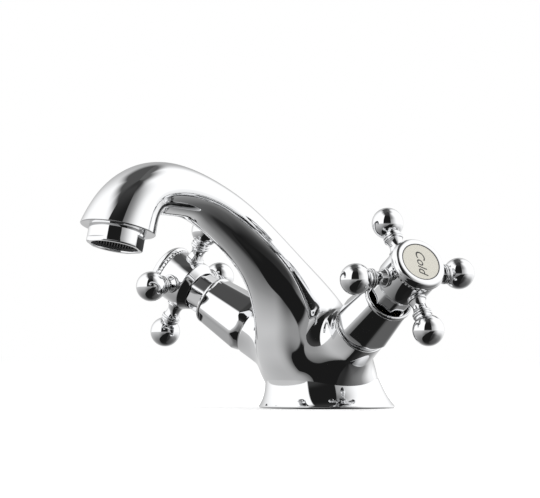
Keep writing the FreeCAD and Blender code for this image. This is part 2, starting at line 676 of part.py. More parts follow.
def spindle():
    """Splined stem with its driver plate, ring grooves and tapped end."""
    shape = cylinder(DISC_R - DRIVER_INSET, DRIVER_FROM, DRIVER_TOP)
    shape = shape.fuse(cylinder(STEM_R, DRIVER_FROM, BONNET_TOP))
    shape = shape.fuse(across(
        DISC_R - DRIVER_TONGUE_END, DRIVER_TONGUE_WIDTH, MOVING_TOP - DRIVER_TONGUE_DEPTH, DRIVER_TOP))
    shape = shape.fuse(toothed(SPLINE_R, SPLINE_ROOT_R, SPLINE_TEETH, BONNET_TOP, SPINDLE_TOP))
    for middle in (QUARTER_TURN, QUARTER_TURN + HALF_TURN):
        shape = shape.cut(sector(
            STEM_R, DISC_R, DISC_WINDOW_SPAN, middle, DRIVER_FROM - 1.0, DRIVER_TOP + 1.0))
    half = RING_GROOVE_WIDTH / 2.0
    for along in RINGS_AT:
        shape = shape.cut(ring(RING_GROOVE_R, STEM_R + 1.0, along - half, along + half))
    shape = shape.cut(ring(CLIP_GROOVE_R, STEM_R + 1.0, CLIP_FROM - FIT, CLIP_TOP + FIT))
    return shape.cut(cylinder(SCREW_R + FIT, SPINDLE_TOP - SCREW_REACH - 1.0, SPINDLE_TOP + 1.0))


def stem_rings():
    """Two rubber rings that seal the stem in the bonnet."""
    middle = RING_GROOVE_R + RING_FIT + RING_SECTION_R
    return Part.makeCompound([
        Part.makeTorus(middle, RING_SECTION_R, Vector(0, 0, along)) for along in RINGS_AT])


def retaining_clip():
    """Open spring ring that keeps the spindle in the bonnet."""
    shape = ring(CLIP_GROOVE_R + FIT, CLIP_R, CLIP_FROM, CLIP_TOP)
    mouth = across(CLIP_R + 1.0, CLIP_MOUTH, CLIP_FROM - 1.0, CLIP_TOP + 1.0)
    mouth.translate(Vector(CLIP_R + 1.0, 0, 0))
    return shape.cut(mouth)


# ================================================================ cover
def valve_cover():
    """Eight-sided bell that screws over the bonnet, with a round bead at its mouth."""
    corner = 1.0 / math.cos(math.pi / COVER_FACETS)
    faceted = Part.makeLoft([
        polygon(COVER_WIDE_FLAT_R * corner, COVER_FACETS, COVER_WIDE_AT),
        polygon(COVER_MOUTH_FLAT_R * corner, COVER_FACETS, COVER_MOUTH_AT),
    ], True, True)
    foot = prism(COVER_WIDE_FLAT_R * corner, COVER_FACETS, COVER_FOOT_AT, COVER_WIDE_AT)
    rounded = turned(
        (0, COVER_FOOT_AT), (COVER_FOOT_R, COVER_FOOT_AT),
        (COVER_WIDE_FLAT_R * corner - COVER_CORNER_TRIM, COVER_WIDE_AT),
        (COVER_MOUTH_FLAT_R * corner - COVER_CORNER_TRIM, COVER_MOUTH_AT), (0, COVER_MOUTH_AT),
    )
    bead_r = COVER_MOUTH_FLAT_R + COVER_BEAD_STANDS
    bead_from = COVER_MOUTH_AT - 2 * COVER_BEAD_R
    shoulder_r = bead_r - COVER_BEAD_R * COVER_BEAD_ROUND
    bead = turned(
        (COVER_MOUTH_R - 1.0, bead_from), (shoulder_r, bead_from),
        ((bead_r, COVER_MOUTH_AT - COVER_BEAD_R), (shoulder_r, COVER_MOUTH_AT)),
        (COVER_MOUTH_R - 1.0, COVER_MOUTH_AT),
    )
    shape = faceted.fuse(foot).common(rounded).fuse(bead)
    hollow = turned(
        (0, COVER_FOOT_AT - 1), (COVER_INNER_R, COVER_FOOT_AT - 1), (COVER_INNER_R, COVER_WIDE_AT),
        (COVER_INNER_R - COVER_TAPER * COVER_HOLLOW_TAPER, COVER_WEB_FROM), (0, COVER_WEB_FROM),
    )
    shape = shape.cut(hollow)
    shape = shape.cut(cylinder(BONNET_R + FIT, COVER_WEB_FROM - 1, COVER_WEB_TOP + 1))
    return shape.cut(cylinder(COVER_MOUTH_R, COVER_WEB_TOP, COVER_MOUTH_AT + 1)).removeSplitter()


# ================================================================ cross handle
def round_the_hub(shape):
    """Copies of a shape drawn along local X, one for each spoke."""
    copies = []
    for number in range(SPOKES):
        one = shape.copy()
        one.rotate(Vector(), Vector(0, 0, 1), 360.0 * number / SPOKES)
        copies.append(one)
    return copies


def outwards(shape):
    """Turns a shape drawn along local Z so that it points along local X, at the cross."""
    laid = shape.copy()
    laid.rotate(Vector(), Vector(0, 1, 0), 90)
    laid.translate(Vector(0, 0, CROSS_AT))
    return laid


def handle_hub():
    """Hub of the cross with its cavity, splined socket and eight-sided collar."""
    shape = turned(
        (0, HUB_FROM), (HUB_R - HUB_TAPER, HUB_FROM), (HUB_R - HUB_EDGE, HUB_WIDE_AT),
        (HUB_R, HUB_WIDE_AT + HUB_EDGE), (HUB_R, HUB_TOP), (0, HUB_TOP),
    )
    shape = shape.fuse(prism(COLLAR_CORNER_R, COLLAR_SIDES, COLLAR_FROM, HUB_WIDE_AT))
    shape = shape.cut(cylinder(HUB_CAVITY_R, HUB_CAVITY_FLOOR, HUB_TOP + 1.0))
    shape = shape.cut(toothed(
        SPLINE_R + SPLINE_FIT, SPLINE_ROOT_R + SPLINE_FIT, SPLINE_TEETH,
        COLLAR_FROM - 1.0, SPINDLE_TOP + FIT))
    shape = shape.cut(cylinder(SCREW_R + SCREW_HOLE_FIT, SPINDLE_TOP, HUB_CAVITY_FLOOR + 1.0))
    pin_hole = cylinder(SPOKE_STUD_R + FIT, HUB_R - SPOKE_STUD_LENGTH - FIT, HUB_R + 1.0)
    seat = cylinder(SPOKE_BOSS_R + FIT, HUB_R - SPOKE_BOSS_SEAT - FIT, HUB_R + 1.0)
    for hole in round_the_hub(outwards(pin_hole.fuse(seat))):
        shape = shape.cut(hole)
    return shape


def spoke():
    """One turned spoke: pin, boss, neck, double bead and ball, along local Z."""
    ball_from = SPOKE_REACH - math.sqrt(BALL_R ** 2 - SPOKE_BEAD_ROOT_R ** 2)
    bead_top = SPOKE_REACH - BALL_R + SPOKE_BEAD_TUCK
    half_bead = SPOKE_BEAD_WIDTH / 2.0
    beads_from = bead_top - 2 * SPOKE_BEAD_WIDTH
    neck_from = HUB_R + SPOKE_NECK_FROM
    seat = HUB_R - SPOKE_BOSS_SEAT
    boss_top = seat + SPOKE_BOSS_SEAT + SPOKE_BOSS_LENGTH - CORNER
    boss_edge_r = SPOKE_BOSS_R - CORNER
    run_out = SPOKE_NECK_R + CORNER
    return turned(
        (0, HUB_R - SPOKE_STUD_LENGTH), (SPOKE_STUD_R, HUB_R - SPOKE_STUD_LENGTH), (SPOKE_STUD_R, seat),
        (boss_edge_r, seat), (boss_edge_r, HUB_R - CORNER),
        ((SPOKE_BOSS_R, (HUB_R + boss_top) / 2.0), (boss_edge_r - CORNER, boss_top)),
        ((run_out, neck_from - 1.0), (SPOKE_NECK_R, neck_from)),
        ((run_out, beads_from - 1.0), (SPOKE_BEAD_ROOT_R, beads_from)),
        ((SPOKE_BEAD_R, beads_from + half_bead), (SPOKE_BEAD_ROOT_R, bead_top - SPOKE_BEAD_WIDTH)),
        ((SPOKE_BEAD_R, bead_top - half_bead), (SPOKE_BEAD_ROOT_R, bead_top)),
        (SPOKE_BEAD_ROOT_R, ball_from),
        ((BALL_R, SPOKE_REACH), (0, SPOKE_REACH + BALL_R)),
    )


def spokes():
    return Part.makeCompound(round_the_hub(outwards(spoke())))


def handle_screw():
    head_from = HUB_CAVITY_FLOOR + FIT
    head_top = head_from + SCREW_HEAD_HEIGHT
    shape = cylinder(SCREW_HEAD_R, head_from, head_top)
    shape = shape.fuse(cylinder(SCREW_R, SPINDLE_TOP - SCREW_REACH, head_from))
    return shape.cut(prism(SCREW_KEY_R, 6, head_top - SCREW_KEY_DEPTH, head_top + 1.0))


def index_ring():
    """Screwed cap that holds the index disc, with a knurled lower edge."""
    knurl_top = CAP_FROM + KNURL_HEIGHT
    knurl_root_r = KNURL_R - KNURL_DEPTH
    shape = turned(
        (0, knurl_top), (knurl_root_r, knurl_top),
        ((CAP_R, CAP_WIDE_AT), (CAP_R - CAP_EDGE_IN, CAP_WIDE_AT + CAP_EDGE_RISE)),
        ((CAP_R - CAP_BREAK * CAP_SLOPE, CAP_TOP - CORNER), (CAP_RIM_R, CAP_TOP)), (0, CAP_TOP),
    )
    shape = shape.fuse(toothed(KNURL_R, knurl_root_r, KNURL_COUNT, CAP_FROM, knurl_top))
    shape = shape.fuse(cylinder(CAP_SKIRT_R, CAP_FROM - CAP_SKIRT_LENGTH, CAP_FROM))
    recess_floor = INDEX_FROM - FIT
    shape = shape.cut(cylinder(INDEX_R + INDEX_GAP, recess_floor, CAP_TOP + 1.0))
    inner_r = CAP_SKIRT_R - CAP_SKIRT_WALL
    return shape.cut(cylinder(inner_r, CAP_FROM - CAP_SKIRT_LENGTH - 1.0, recess_floor - CAP_WEB))


def index_disc():
    return turned(
        (0, INDEX_FROM), (INDEX_R, INDEX_FROM), (INDEX_R, INDEX_TOP - CORNER),
        (INDEX_R - CORNER, INDEX_TOP), (0, INDEX_TOP))


# ================================================================ assembly
STILL_ON_VALVE = {
    "valve_cover": valve_cover,
    "cartridge_body": cartridge_body,
    "seat_seal": seat_seal,
    "fixed_disc": fixed_disc,
}
TURNS_ON_VALVE = {
    "handle_hub": handle_hub,
    "handle_spokes": spokes,
    "handle_screw": handle_screw,
    "index_ring": index_ring,
    "index_disc": index_disc,
    "spindle": spindle,
    "moving_disc": moving_disc,
    "stem_rings": stem_rings,
    "retaining_clip": retaining_clip,
}


def main():
    os.makedirs("parts", exist_ok=True)
    save("body_casting", body_casting())
    save("base_seal", base_seal())
    save("aerator_sleeve", aerator_sleeve())
    save("aerator_insert", aerator_insert())
    save("aerator_washer", aerator_washer())
    for name, make in STILL_ON_VALVE.items():
        shape = make()
        for side in SIDES:
            save(side + "_" + name, on_valve(shape, side))
    for name, make in TURNS_ON_VALVE.items():
        shape = make()
        for side in SIDES:
            save(side + "_" + name, on_valve(shape, side, REST_TURN[side]))


main()
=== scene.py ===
import math

import bmesh
import bpy
import numpy as np
from mathutils import Matrix, Vector


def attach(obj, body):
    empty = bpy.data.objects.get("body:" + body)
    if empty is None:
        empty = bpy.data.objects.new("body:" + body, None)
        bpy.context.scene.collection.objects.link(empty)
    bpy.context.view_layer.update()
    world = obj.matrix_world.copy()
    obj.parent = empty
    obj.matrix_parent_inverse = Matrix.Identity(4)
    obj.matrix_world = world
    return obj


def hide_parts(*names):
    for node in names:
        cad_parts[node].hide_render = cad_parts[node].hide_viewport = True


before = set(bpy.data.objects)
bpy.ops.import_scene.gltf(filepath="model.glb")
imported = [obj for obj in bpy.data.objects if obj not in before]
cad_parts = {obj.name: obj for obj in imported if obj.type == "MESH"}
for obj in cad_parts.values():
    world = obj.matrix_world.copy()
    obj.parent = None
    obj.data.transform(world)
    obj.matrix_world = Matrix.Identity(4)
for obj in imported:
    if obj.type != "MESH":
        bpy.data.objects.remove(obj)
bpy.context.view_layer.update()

bl_info = {
    "name": "Cross handle basin mixer",
    "version": (1, 0, 0),
    "blender": (4, 5, 0),
    "location": "View3D > Sidebar > Basin mixer",
    "description": "Builds the visible pieces of a basin mixer tap with two cross handles",
    "category": "Object",
}

MM = 0.001                       # the frame is in metres, the sizes below are in millimetres
SIDES = {"cold": 1.0, "hot": -1.0}
REST_TURN = {"cold": 3.9, "hot": -6.6}
AXIS_ROOT = np.array((0.0, -3.5, 15.5))
VALVE_TILT = math.radians(30.0)
VALVE_SWEEP = math.radians(14.4)

# Levels along a valve's axis, from the tap's middle plane outwards.
SOCKET_FACE = 39.0
COVER_FOOT = 39.6
COVER_WIDE = 43.6
COVER_MOUTH = 65.6
COVER_FLOOR = 60.0
COLLAR_FROM = 62.0
HUB_FROM = 73.4
HUB_WIDE = 76.6
HUB_TOP = 89.0
CROSS = 82.0
CAP_FROM = 89.05
CAP_TOP = 93.9
INDEX_LEVEL = CAP_TOP - 0.15

# Radii about a valve's axis. A flat's radius is measured at its middle.
FACETS = 8                       # flats round each cover and each collar
CORNER = 1.0 / math.cos(math.pi / FACETS)   # a corner's radius over its flats'
COVER_FOOT_R = 11.5
COVER_WIDE_FLAT = 12.35
COVER_MOUTH_FLAT = 10.45
COVER_TRIM = 0.28                # taken off the corners between the flats
COVER_MOUTH_R = 9.85
COVER_WEB_R = 7.55
COVER_WEB_THICKNESS = 4.0
BEAD_R = 10.55
BEAD_OUTER_R = 11.25
BEAD_HEIGHT = 2.2
COLLAR_FLAT = 8.35
HUB_R = 11.5
HUB_CAVITY_R = 9.0
HUB_CAVITY_DEPTH = 5.0
INDEX_R = 8.64
INDEX_GAP = 0.16
KNURL_HEIGHT = 1.1
KNURL_R = 11.72
KNURL_WAVE = 0.12
KNURL_TEETH = 48

# Aerator, measured from the nose's lower face along the way that the water leaves.
SLEEVE_R = 12.0
SLEEVE_THREAD_R = 11.95
SLEEVE_BORE_R = 10.25
SLEEVE_LIP_R = 9.85
SLEEVE_THREAD_END = -6.4
SLEEVE_MOUTH = 7.4
WRENCH_FLAT = 10.9
WRENCH_FLATS = ((90.0, 1.8), (-90.0, 1.8), (150.0, 5.2), (-30.0, 5.2))  # turn in degrees, height
INSERT_TOP = SLEEVE_MOUTH - 1.25
INSERT_OPENING_R = 8.6
SLAT_PITCH = 1.15
SLAT_WIDTH = 0.55
SLAT_DEPTH = 3.0
SLAT_TURN = math.radians(-50.0)  # how the slats stand, turned from front to back

# Foot and bores.
FOOT_EDGE_R = 29.2
FOOT_LIP_R = 30.0
FOOT_LIP_Z = 1.0
SKIRT_HEIGHT = 12.0
SKIRT_DRAW_IN = 5.1
SKIRT_WAIST = 0.9
SKIRT_WAIST_SKEW = 0.8
SKIRT_LEAN = 2.9
SKIRT_LEAN_GROWTH = 1.15
GROOVE_INNER_R = 23.15
GROOVE_OUTER_R = 26.65
GROOVE_DEPTH = 2.05
RECESS_R = 21.0
RECESS_DEPTH = 6.0
FOOT_HOLES = ((5.0, 9, -5, 10.0), (5.0, -9, -5, 10.0), (4.0, 0, 10.5, 12.0))  # radius, x, y, depth
NOSE_BORE = (12.05, 9.0)         # radius, depth
SOCKET_BORE = (10.5, 8.0)

# Body and spout. Each station: top (y, z), underside (y, z), half width, squareness.
STATIONS = (
    ((-138.6, 79.1), (-107.6, 71.5), 15.95, 2.0),
    ((-135.2, 84.2), (-106.2, 77.3), 15.4, 2.0),
    ((-128.7, 91.9), (-105.0, 80.6), 15.0, 2.0),
    ((-119.3, 98.9), (-103.6, 81.9), 14.9, 2.05),
    ((-106.5, 103.7), (-98.5, 82.2), 14.8, 2.1),
    ((-90.0, 103.2), (-89.5, 81.9), 14.3, 2.15),
    ((-71.6, 97.2), (-79.2, 80.2), 14.0, 2.2),
    ((-47.0, 84.0), (-57.7, 67.9), 14.2, 2.2),
    ((-21.5, 65.3), (-41.3, 51.3), 15.6, 2.15),
    ((0.5, 48.5), (-37.6, 36.4), 17.6, 2.1),
    ((14.0, 33.0), (-36.8, 26.5), 20.0, 2.0),
    ((20.0, 20.5), (-33.0, 18.5), 22.6, 2.0),
    ((21.65, 12.0), (-27.45, 12.0), 24.55, 2.0),
    ((18.5, 0.5), (-21.5, 0.5), 20.0, 2.0),
)
# A valve arm: (along the axis, radius).
ARM_PROFILE = ((0.0, 17.0), (10.14, 15.27), (19.89, 13.64), (30.03, 12.54), (39.0, 12.2))
BODY_LOW = np.array((-46.0, -146.0, 3.0))    # box that the body's mesh is made in
BODY_HIGH = np.array((46.0, 30.0, 110.0))


# ---------------------------------------------------------------- settings
class TapFormSettings(bpy.types.PropertyGroup):
    """Sizes of the visible pieces"""
    mesh_step: bpy.props.FloatProperty(
        name="Body mesh step", description="Spacing of the mesh on the cast body",
        default=1.8 * MM, min=0.5 * MM, max=4 * MM, unit="LENGTH")
    arm_blend: bpy.props.FloatProperty(
        name="Arm blend", description="Radius of the hollow where each valve arm leaves the body",
        default=8.0 * MM, min=1 * MM, max=14 * MM, unit="LENGTH")
    ball_radius: bpy.props.FloatProperty(
        name="Ball radius", description="Radius of the ball at the end of each spoke",
        default=6.69 * MM, min=4 * MM, max=8 * MM, unit="LENGTH")
    spoke_reach: bpy.props.FloatProperty(
        name="Spoke reach", description="From the handle's axis to the centre of each ball",
        default=26.27 * MM, min=20 * MM, max=32 * MM, unit="LENGTH")
    letter_height: bpy.props.FloatProperty(
        name="Letter height", description="Height of the word on each index disc",
        default=5.8 * MM, min=2 * MM, max=8 * MM, unit="LENGTH")


class TapFinishSettings(bpy.types.PropertyGroup):
    """Colours and finishes"""
    chrome: bpy.props.FloatVectorProperty(
        name="Chrome", description="Tint of the plated surfaces",
        default=(0.85, 0.855, 0.865), size=3, min=0, max=1, subtype="COLOR")
    cream: bpy.props.FloatVectorProperty(
        name="Index face", description="Colour of the index discs",
        default=(0.66, 0.64, 0.565), size=3, min=0, max=1, subtype="COLOR")
    # Print colour, also used for a dark ring of painted shade over the seam round each index disc.
    print_ink: bpy.props.FloatVectorProperty(
        name="Print", description="Colour of the words and the fine line on the index discs",
        default=(0.035, 0.035, 0.035), size=3, min=0, max=1, subtype="COLOR")
    insert: bpy.props.FloatVectorProperty(
        name="Aerator insert", description="Colour of the slatted insert",
        default=(0.035, 0.035, 0.036), size=3, min=0, max=1, subtype="COLOR")
    brass: bpy.props.FloatVectorProperty(
        name="Brass", description="Colour of the machined brass inside the valves",
        default=(0.72, 0.56, 0.27), size=3, min=0, max=1, subtype="COLOR")
    rubber: bpy.props.FloatVectorProperty(
        name="Rubber", description="Colour of the seals",
        default=(0.02, 0.02, 0.02), size=3, min=0, max=1, subtype="COLOR")
    ceramic: bpy.props.FloatVectorProperty(
        name="Ceramic", description="Colour of the sealing discs",
        default=(0.86, 0.86, 0.84), size=3, min=0, max=1, subtype="COLOR")
    steel: bpy.props.FloatVectorProperty(
        name="Steel", description="Colour of the screws and rings inside the handles",
        default=(0.55, 0.55, 0.56), size=3, min=0, max=1, subtype="COLOR")


class TapStageSettings(bpy.types.PropertyGroup):
    """Floor, the glowing sphere with painted reflections for the plating, and lamps"""
    floor: bpy.props.FloatVectorProperty(
        name="Floor", description="Colour of the floor",
        default=(0.93, 0.93, 0.93), size=3, min=0, max=1, subtype="COLOR")
    floor_lift: bpy.props.FloatProperty(
        name="Floor lift", description="How much the floor is whitened towards the background",
        default=0.3, min=0, max=1)
    # The dark band, the ceiling and the room light below set painted reflections: light and shade painted on
    # the glowing sphere that the plating mirrors.
    band: bpy.props.FloatProperty(
        name="Dark band", description="Brightness of the dark gap between the soft boxes",
        default=0.022, min=0, max=1)
    ceiling: bpy.props.FloatProperty(
        name="Ceiling", description="Brightness of the ceiling, as a share of the soft boxes",
        default=0.075, min=0, max=1)
    painted_room_brightness: bpy.props.FloatProperty(
        name="Room light", description="Brightness of the room that the plating mirrors",
        default=1.18, min=0, max=3)
    lamp_power: bpy.props.FloatProperty(
        name="Lamp power", description="Power of each lamp, in watts",
        default=7.0, min=0, max=60)


# ---------------------------------------------------------------- placing
def valve_frame(side):
    """Origin, outward axis, upward direction and third direction of a valve, in millimetres."""
    out = np.array((
        SIDES[side] * math.cos(VALVE_TILT) * math.cos(VALVE_SWEEP),
        -math.cos(VALVE_TILT) * math.sin(VALVE_SWEEP),
        math.sin(VALVE_TILT)))
    level = np.cross((0.0, 0.0, 1.0), out)
    level /= np.linalg.norm(level)
    top = np.cross(out, level)
    third = np.cross(out, top)
    return AXIS_ROOT, out, top, third


def spun(points, angle):
    """Points turned about local Z."""
    x = points[:, 0] * math.cos(angle) - points[:, 1] * math.sin(angle)
    y = points[:, 0] * math.sin(angle) + points[:, 1] * math.cos(angle)
    return np.column_stack([x, y, points[:, 2]])


def on_valve(points, side, turn=0.0):
    """Points drawn about local Z, placed on a valve's axis."""
    root, out, top, third = valve_frame(side)
    placed = spun(points, math.radians(turn))
    return root + placed[:, 0:1] * top + placed[:, 1:2] * third + placed[:, 2:3] * out


def nose_frame():
    """Centre, outward axis and two cross directions of the nose's lower face."""
    front, back = STATIONS[0][0], STATIONS[0][1]
    centre = np.array((0.0, (front[0] + back[0]) / 2.0, (front[1] + back[1]) / 2.0))
    lip = np.array((0.0, back[0] - front[0], back[1] - front[1]))
    lip /= np.linalg.norm(lip)
    out = -np.cross((1.0, 0.0, 0.0), lip)
    return centre, out, np.array((1.0, 0.0, 0.0)), np.cross(out, (1.0, 0.0, 0.0))


def at_nose(points):
    """Points drawn about local Z, placed at the nose; +Z is the way that the water leaves."""
    centre, out, first, second = nose_frame()
    return centre + points[:, 0:1] * first + points[:, 1:2] * second + points[:, 2:3] * out


def standing(right, up, out, spot):
    """Matrix that puts an object at a spot with its own three axes."""
    return Matrix([(right[i], up[i], out[i], spot[i]) for i in range(3)] + [(0, 0, 0, 1)])


def linked(name, data):
    """New object in the scene."""
    made = bpy.data.objects.new(name, data)
    bpy.context.scene.collection.objects.link(made)
    return made


def piece(name, points, faces, body, material, normals=None, sharp=None):
    """Smooth mesh from points in millimetres, riding on a body. Edges above sharp degrees stay crisp."""
    mesh = bpy.data.meshes.new(name)
    corners = [tuple(point) for point in np.asarray(points) * MM]
    mesh.from_pydata(corners, [], [tuple(int(i) for i in face) for face in faces])
    mesh.validate()
    for polygon in mesh.polygons:
        polygon.use_smooth = True
    if normals is not None:
        mesh.normals_split_custom_set_from_vertices([tuple(normal) for normal in normals])
    if sharp is not None:
        mesh.set_sharp_from_angle(angle=math.radians(sharp))
    mesh.materials.append(material)
    made = linked(name, mesh)
    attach(made, body)
    return made


def join_meshes(*meshes):
    """One list of points and one of faces from several (points, faces) pairs."""
    points, faces, start = [], [], 0
    for some_points, some_faces in meshes:
        points.append(np.asarray(some_points, float))
        faces += [tuple(i + start for i in face) for face in some_faces]
        start += len(some_points)
    return np.concatenate(points), faces


def turned(profile, steps=96, centre_y=None):
    """Skin turned about local Z through (radius, along) points; a radius of 0 closes it."""
    points, faces, rings = [], [], []
    for number, (radius, along) in enumerate(profile):
        if radius < 1e-6:
            rings.append([len(points)])
            points.append((0.0, 0.0, along))
            continue
        rings.append(list(range(len(points), len(points) + steps)))
        shift = 0.0 if centre_y is None else centre_y[number]
        for k in range(steps):
            angle = 2.0 * math.pi * k / steps
            points.append((radius * math.cos(angle), shift + radius * math.sin(angle), along))
    for low, high in zip(rings, rings[1:]):
        for k in range(steps):
            following = (k + 1) % steps
            if len(low) == 1:
                faces.append((low[0], high[following], high[k]))
            elif len(high) == 1:
                faces.append((low[k], low[following], high[0]))
            else:
                faces.append((low[k], low[following], high[following], high[k]))
    return np.array(points), faces


def ring_faces(rings, steps):
    """Quads between closed rings of points, one ring after the other."""
    faces = []
    for ring in range(rings - 1):
        for k in range(steps):
            here, following = ring * steps + k, ring * steps + (k + 1) % steps
            faces.append((here, following, following + steps, here + steps))
    return faces


def flipped(faces):
    """Faces that look the other way."""
    return [tuple(reversed(face)) for face in faces]


def shifted(profile, level):
    """Points of a profile that is given from a level."""
    return [(radius, level + along) for radius, along in profile]


def arc(start, middle, end, steps):
    """Points of the arc through three (radius, along) points, without its first."""
    (ax, ay), (bx, by), (cx, cy) = start, middle, end
    d = 2.0 * (ax * (by - cy) + bx * (cy - ay) + cx * (ay - by))
    a2, b2, c2 = ax * ax + ay * ay, bx * bx + by * by, cx * cx + cy * cy
    ux = (a2 * (by - cy) + b2 * (cy - ay) + c2 * (ay - by)) / d
    uy = (a2 * (cx - bx) + b2 * (ax - cx) + c2 * (bx - ax)) / d
    radius = math.hypot(ax - ux, ay - uy)
    first = math.atan2(ay - uy, ax - ux)
    half = math.atan2(by - uy, bx - ux)
    last = math.atan2(cy - uy, cx - ux)
    turn = (last - first) % (2 * math.pi)
    if (half - first) % (2 * math.pi) > turn:
        turn -= 2 * math.pi
    angles = [first + turn * k / steps for k in range(1, steps + 1)]
    return [(ux + radius * math.cos(angle), uy + radius * math.sin(angle)) for angle in angles]


def step_up(value, low, high):
    """0 below low, 1 above high, smooth between."""
    share = np.clip((value - low) / (high - low), 0.0, 1.0)
    return share * share * (3.0 - 2.0 * share)


# ---------------------------------------------------------------- body form
def natural_spline(knots, values):
    """Natural cubic spline through values at knots, as a function that runs on straight past its ends."""
    t = np.asarray(knots, float)
    y = np.asarray(values, float)
    n = len(t)
    h = np.diff(t)
    matrix = np.zeros((n, n))
    right = np.zeros((n,) + y.shape[1:])
    matrix[0, 0] = matrix[-1, -1] = 1.0
    for i in range(1, n - 1):
        matrix[i, i - 1] = h[i - 1]
        matrix[i, i] = 2.0 * (h[i - 1] + h[i])
        matrix[i, i + 1] = h[i]
        right[i] = 6.0 * ((y[i + 1] - y[i]) / h[i] - (y[i] - y[i - 1]) / h[i - 1])
    bend = np.linalg.solve(matrix, right)

    def at(x):
        x = np.asarray(x, float)
        inside = np.clip(x, t[0], t[-1])
        i = np.clip(np.searchsorted(t, inside) - 1, 0, n - 2)
        step = h[i]
        a = (t[i + 1] - inside) / step
        b = 1.0 - a
        tail = (slice(None),) + (None,) * (y.ndim - 1)
        if y.ndim > 1:
            a, b, step = a[tail], b[tail], step[tail]
        bow = (a ** 3 - a) * bend[i] + (b ** 3 - b) * bend[i + 1]
        curve = a * y[i] + b * y[i + 1] + bow * step ** 2 / 6.0
        slope_first = (y[1] - y[0]) / h[0] - h[0] * bend[1] / 6.0
        slope_last = (y[-1] - y[-2]) / h[-1] + h[-1] * bend[-2] / 6.0
        over = x - inside
        if y.ndim > 1:
            over = over[tail]
        return curve + np.where(over < 0, over * slope_first, over * slope_last)
    return at


class SpoutForm:
    """The spout as a measure of distance from its skin, worked out from its stations."""

    def __init__(self):
        rows = np.array([(s[0][0], s[0][1], s[1][0], s[1][1], s[2], s[3]) for s in STATIONS])
        middles = (rows[:, 0:2] + rows[:, 2:4]) / 2.0
        turning = np.linalg.norm(np.diff(rows[:, 0:4], axis=0), axis=1) * 0.5
        steps = turning + np.linalg.norm(np.diff(middles, axis=0), axis=1)
        travel = np.concatenate([[0.0], np.cumsum(steps)])
        self.curve = natural_spline(travel, rows)
        self.samples = np.linspace(-8.0, travel[-1], 1400)  # from a little before the nose
        self.table = self.curve(self.samples)

    def side_of_line(self, at, q):
        """On which side of a section's line each (y, z) point lies."""
        row = self.curve(at)
        d = row[:, 0:2] - row[:, 2:4]
        w = q - row[:, 2:4]
        return w[:, 0] * d[:, 1] - w[:, 1] * d[:, 0]

    def travel_at(self, q):
        """How far along the spout each (y, z) point lies, or NaN where no section reaches it."""
        top, under = self.table[:, 0:2], self.table[:, 2:4]
        d = top - under
        reach = (d ** 2).sum(1)
        found = np.full(len(q), np.nan)
        at_once, too_far = 4000, 1e9
        for first in range(0, len(q), at_once):
            some = q[first:first + at_once]
            wy = some[:, 0:1] - under[None, :, 0]
            wz = some[:, 1:2] - under[None, :, 1]
            cross = wy * d[None, :, 1] - wz * d[None, :, 0]
            share = np.abs((wy * d[None, :, 0] + wz * d[None, :, 1]) / reach[None, :] - 0.5)
            change = cross[:, :-1] * cross[:, 1:] <= 0.0
            cost = np.where(change, share[:, :-1], too_far)
            best = cost.argmin(1)
            rows = np.arange(len(some))
            ok = cost[rows, best] < too_far
            c0, c1 = cross[rows, best], cross[rows, best + 1]
            part = np.where(np.abs(c0 - c1) > 1e-12, c0 / (c0 - c1 + 1e-15), 0.0)
            value = self.samples[best] + part * (self.samples[1] - self.samples[0])
            found[first:first + at_once] = np.where(ok, value, np.nan)
        return found

    def refine(self, at, q, rounds=2):
        """Better travel for points that are near their last one."""
        for _ in range(rounds):
            low = self.side_of_line(at - 0.05, q)
            high = self.side_of_line(at + 0.05, q)
            slope = (high - low) / 0.1
            steep = np.abs(slope) > 1e-9
            move = np.where(steep, (low + high) / 2.0 / np.where(steep, slope, 1.0), 0.0)
            at = at - np.clip(move, -3.0, 3.0)
        return at

    def distance(self, p, at):
        """How far each point lies outside the spout's skin; negative inside."""
        row = self.curve(np.nan_to_num(at))
        centre = (row[:, 0:2] + row[:, 2:4]) / 2.0
        rise = (row[:, 0:2] - row[:, 2:4]) / 2.0
        half_height = np.linalg.norm(rise, axis=1)
        h = ((p[:, 1:3] - centre) * rise).sum(1) / half_height
        x = p[:, 0]
        power = row[:, 5]
        size = (np.abs(x / row[:, 4]) ** power + np.abs(h / half_height) ** power) ** (1.0 / power)
        reach = np.hypot(x, h)
        away = reach * (1.0 - 1.0 / np.maximum(size, 1e-6))
        near_middle = size < 0.05
        away = np.where(near_middle, -half_height, away)
        return np.where(np.isnan(at), 60.0, away)


def arm_distance(p, side):
    """How far each point lies outside a valve arm; negative inside."""
    root, out, _, _ = valve_frame(side)
    w = p - root
    along = w @ out
    radial = np.linalg.norm(w - along[:, None] * out, axis=1)
    travel, radii = np.array(ARM_PROFILE).T
    radius = natural_spline(travel, radii)(np.clip(along, 0.0, SOCKET_FACE))
    behind = np.hypot(radial, along) - radii[0]
    return np.where(along < 0.0, behind, radial - radius)


def blended(a, b, radius):
    """Union of two distances with a hollow blend."""
    u = np.maximum(radius - a, 0.0)
    w = np.maximum(radius - b, 0.0)
    return np.maximum(radius, np.minimum(a, b)) - np.hypot(u, w)


def body_distance(spout, p, at, blend):
    """How far each point lies outside the spout and both arms, blended."""
    form = spout.distance(p, at)
    for side in SIDES:
        form = blended(form, arm_distance(p, side), blend)
    return form


def slope_of(spout, p, at, blend):
    """Gradient of the body's distance, by small steps."""
    step = 0.02
    found = np.zeros_like(p)
    for axis in range(3):
        shift = np.zeros(3)
        shift[axis] = step
        ahead, back = p + shift, p - shift
        at_ahead = spout.refine(at, ahead[:, 1:3], rounds=1) if axis else at
        at_back = spout.refine(at, back[:, 1:3], rounds=1) if axis else at
        rise = body_distance(spout, ahead, at_ahead, blend) - body_distance(spout, back, at_back, blend)
        found[:, axis] = rise / (2 * step)
    return found


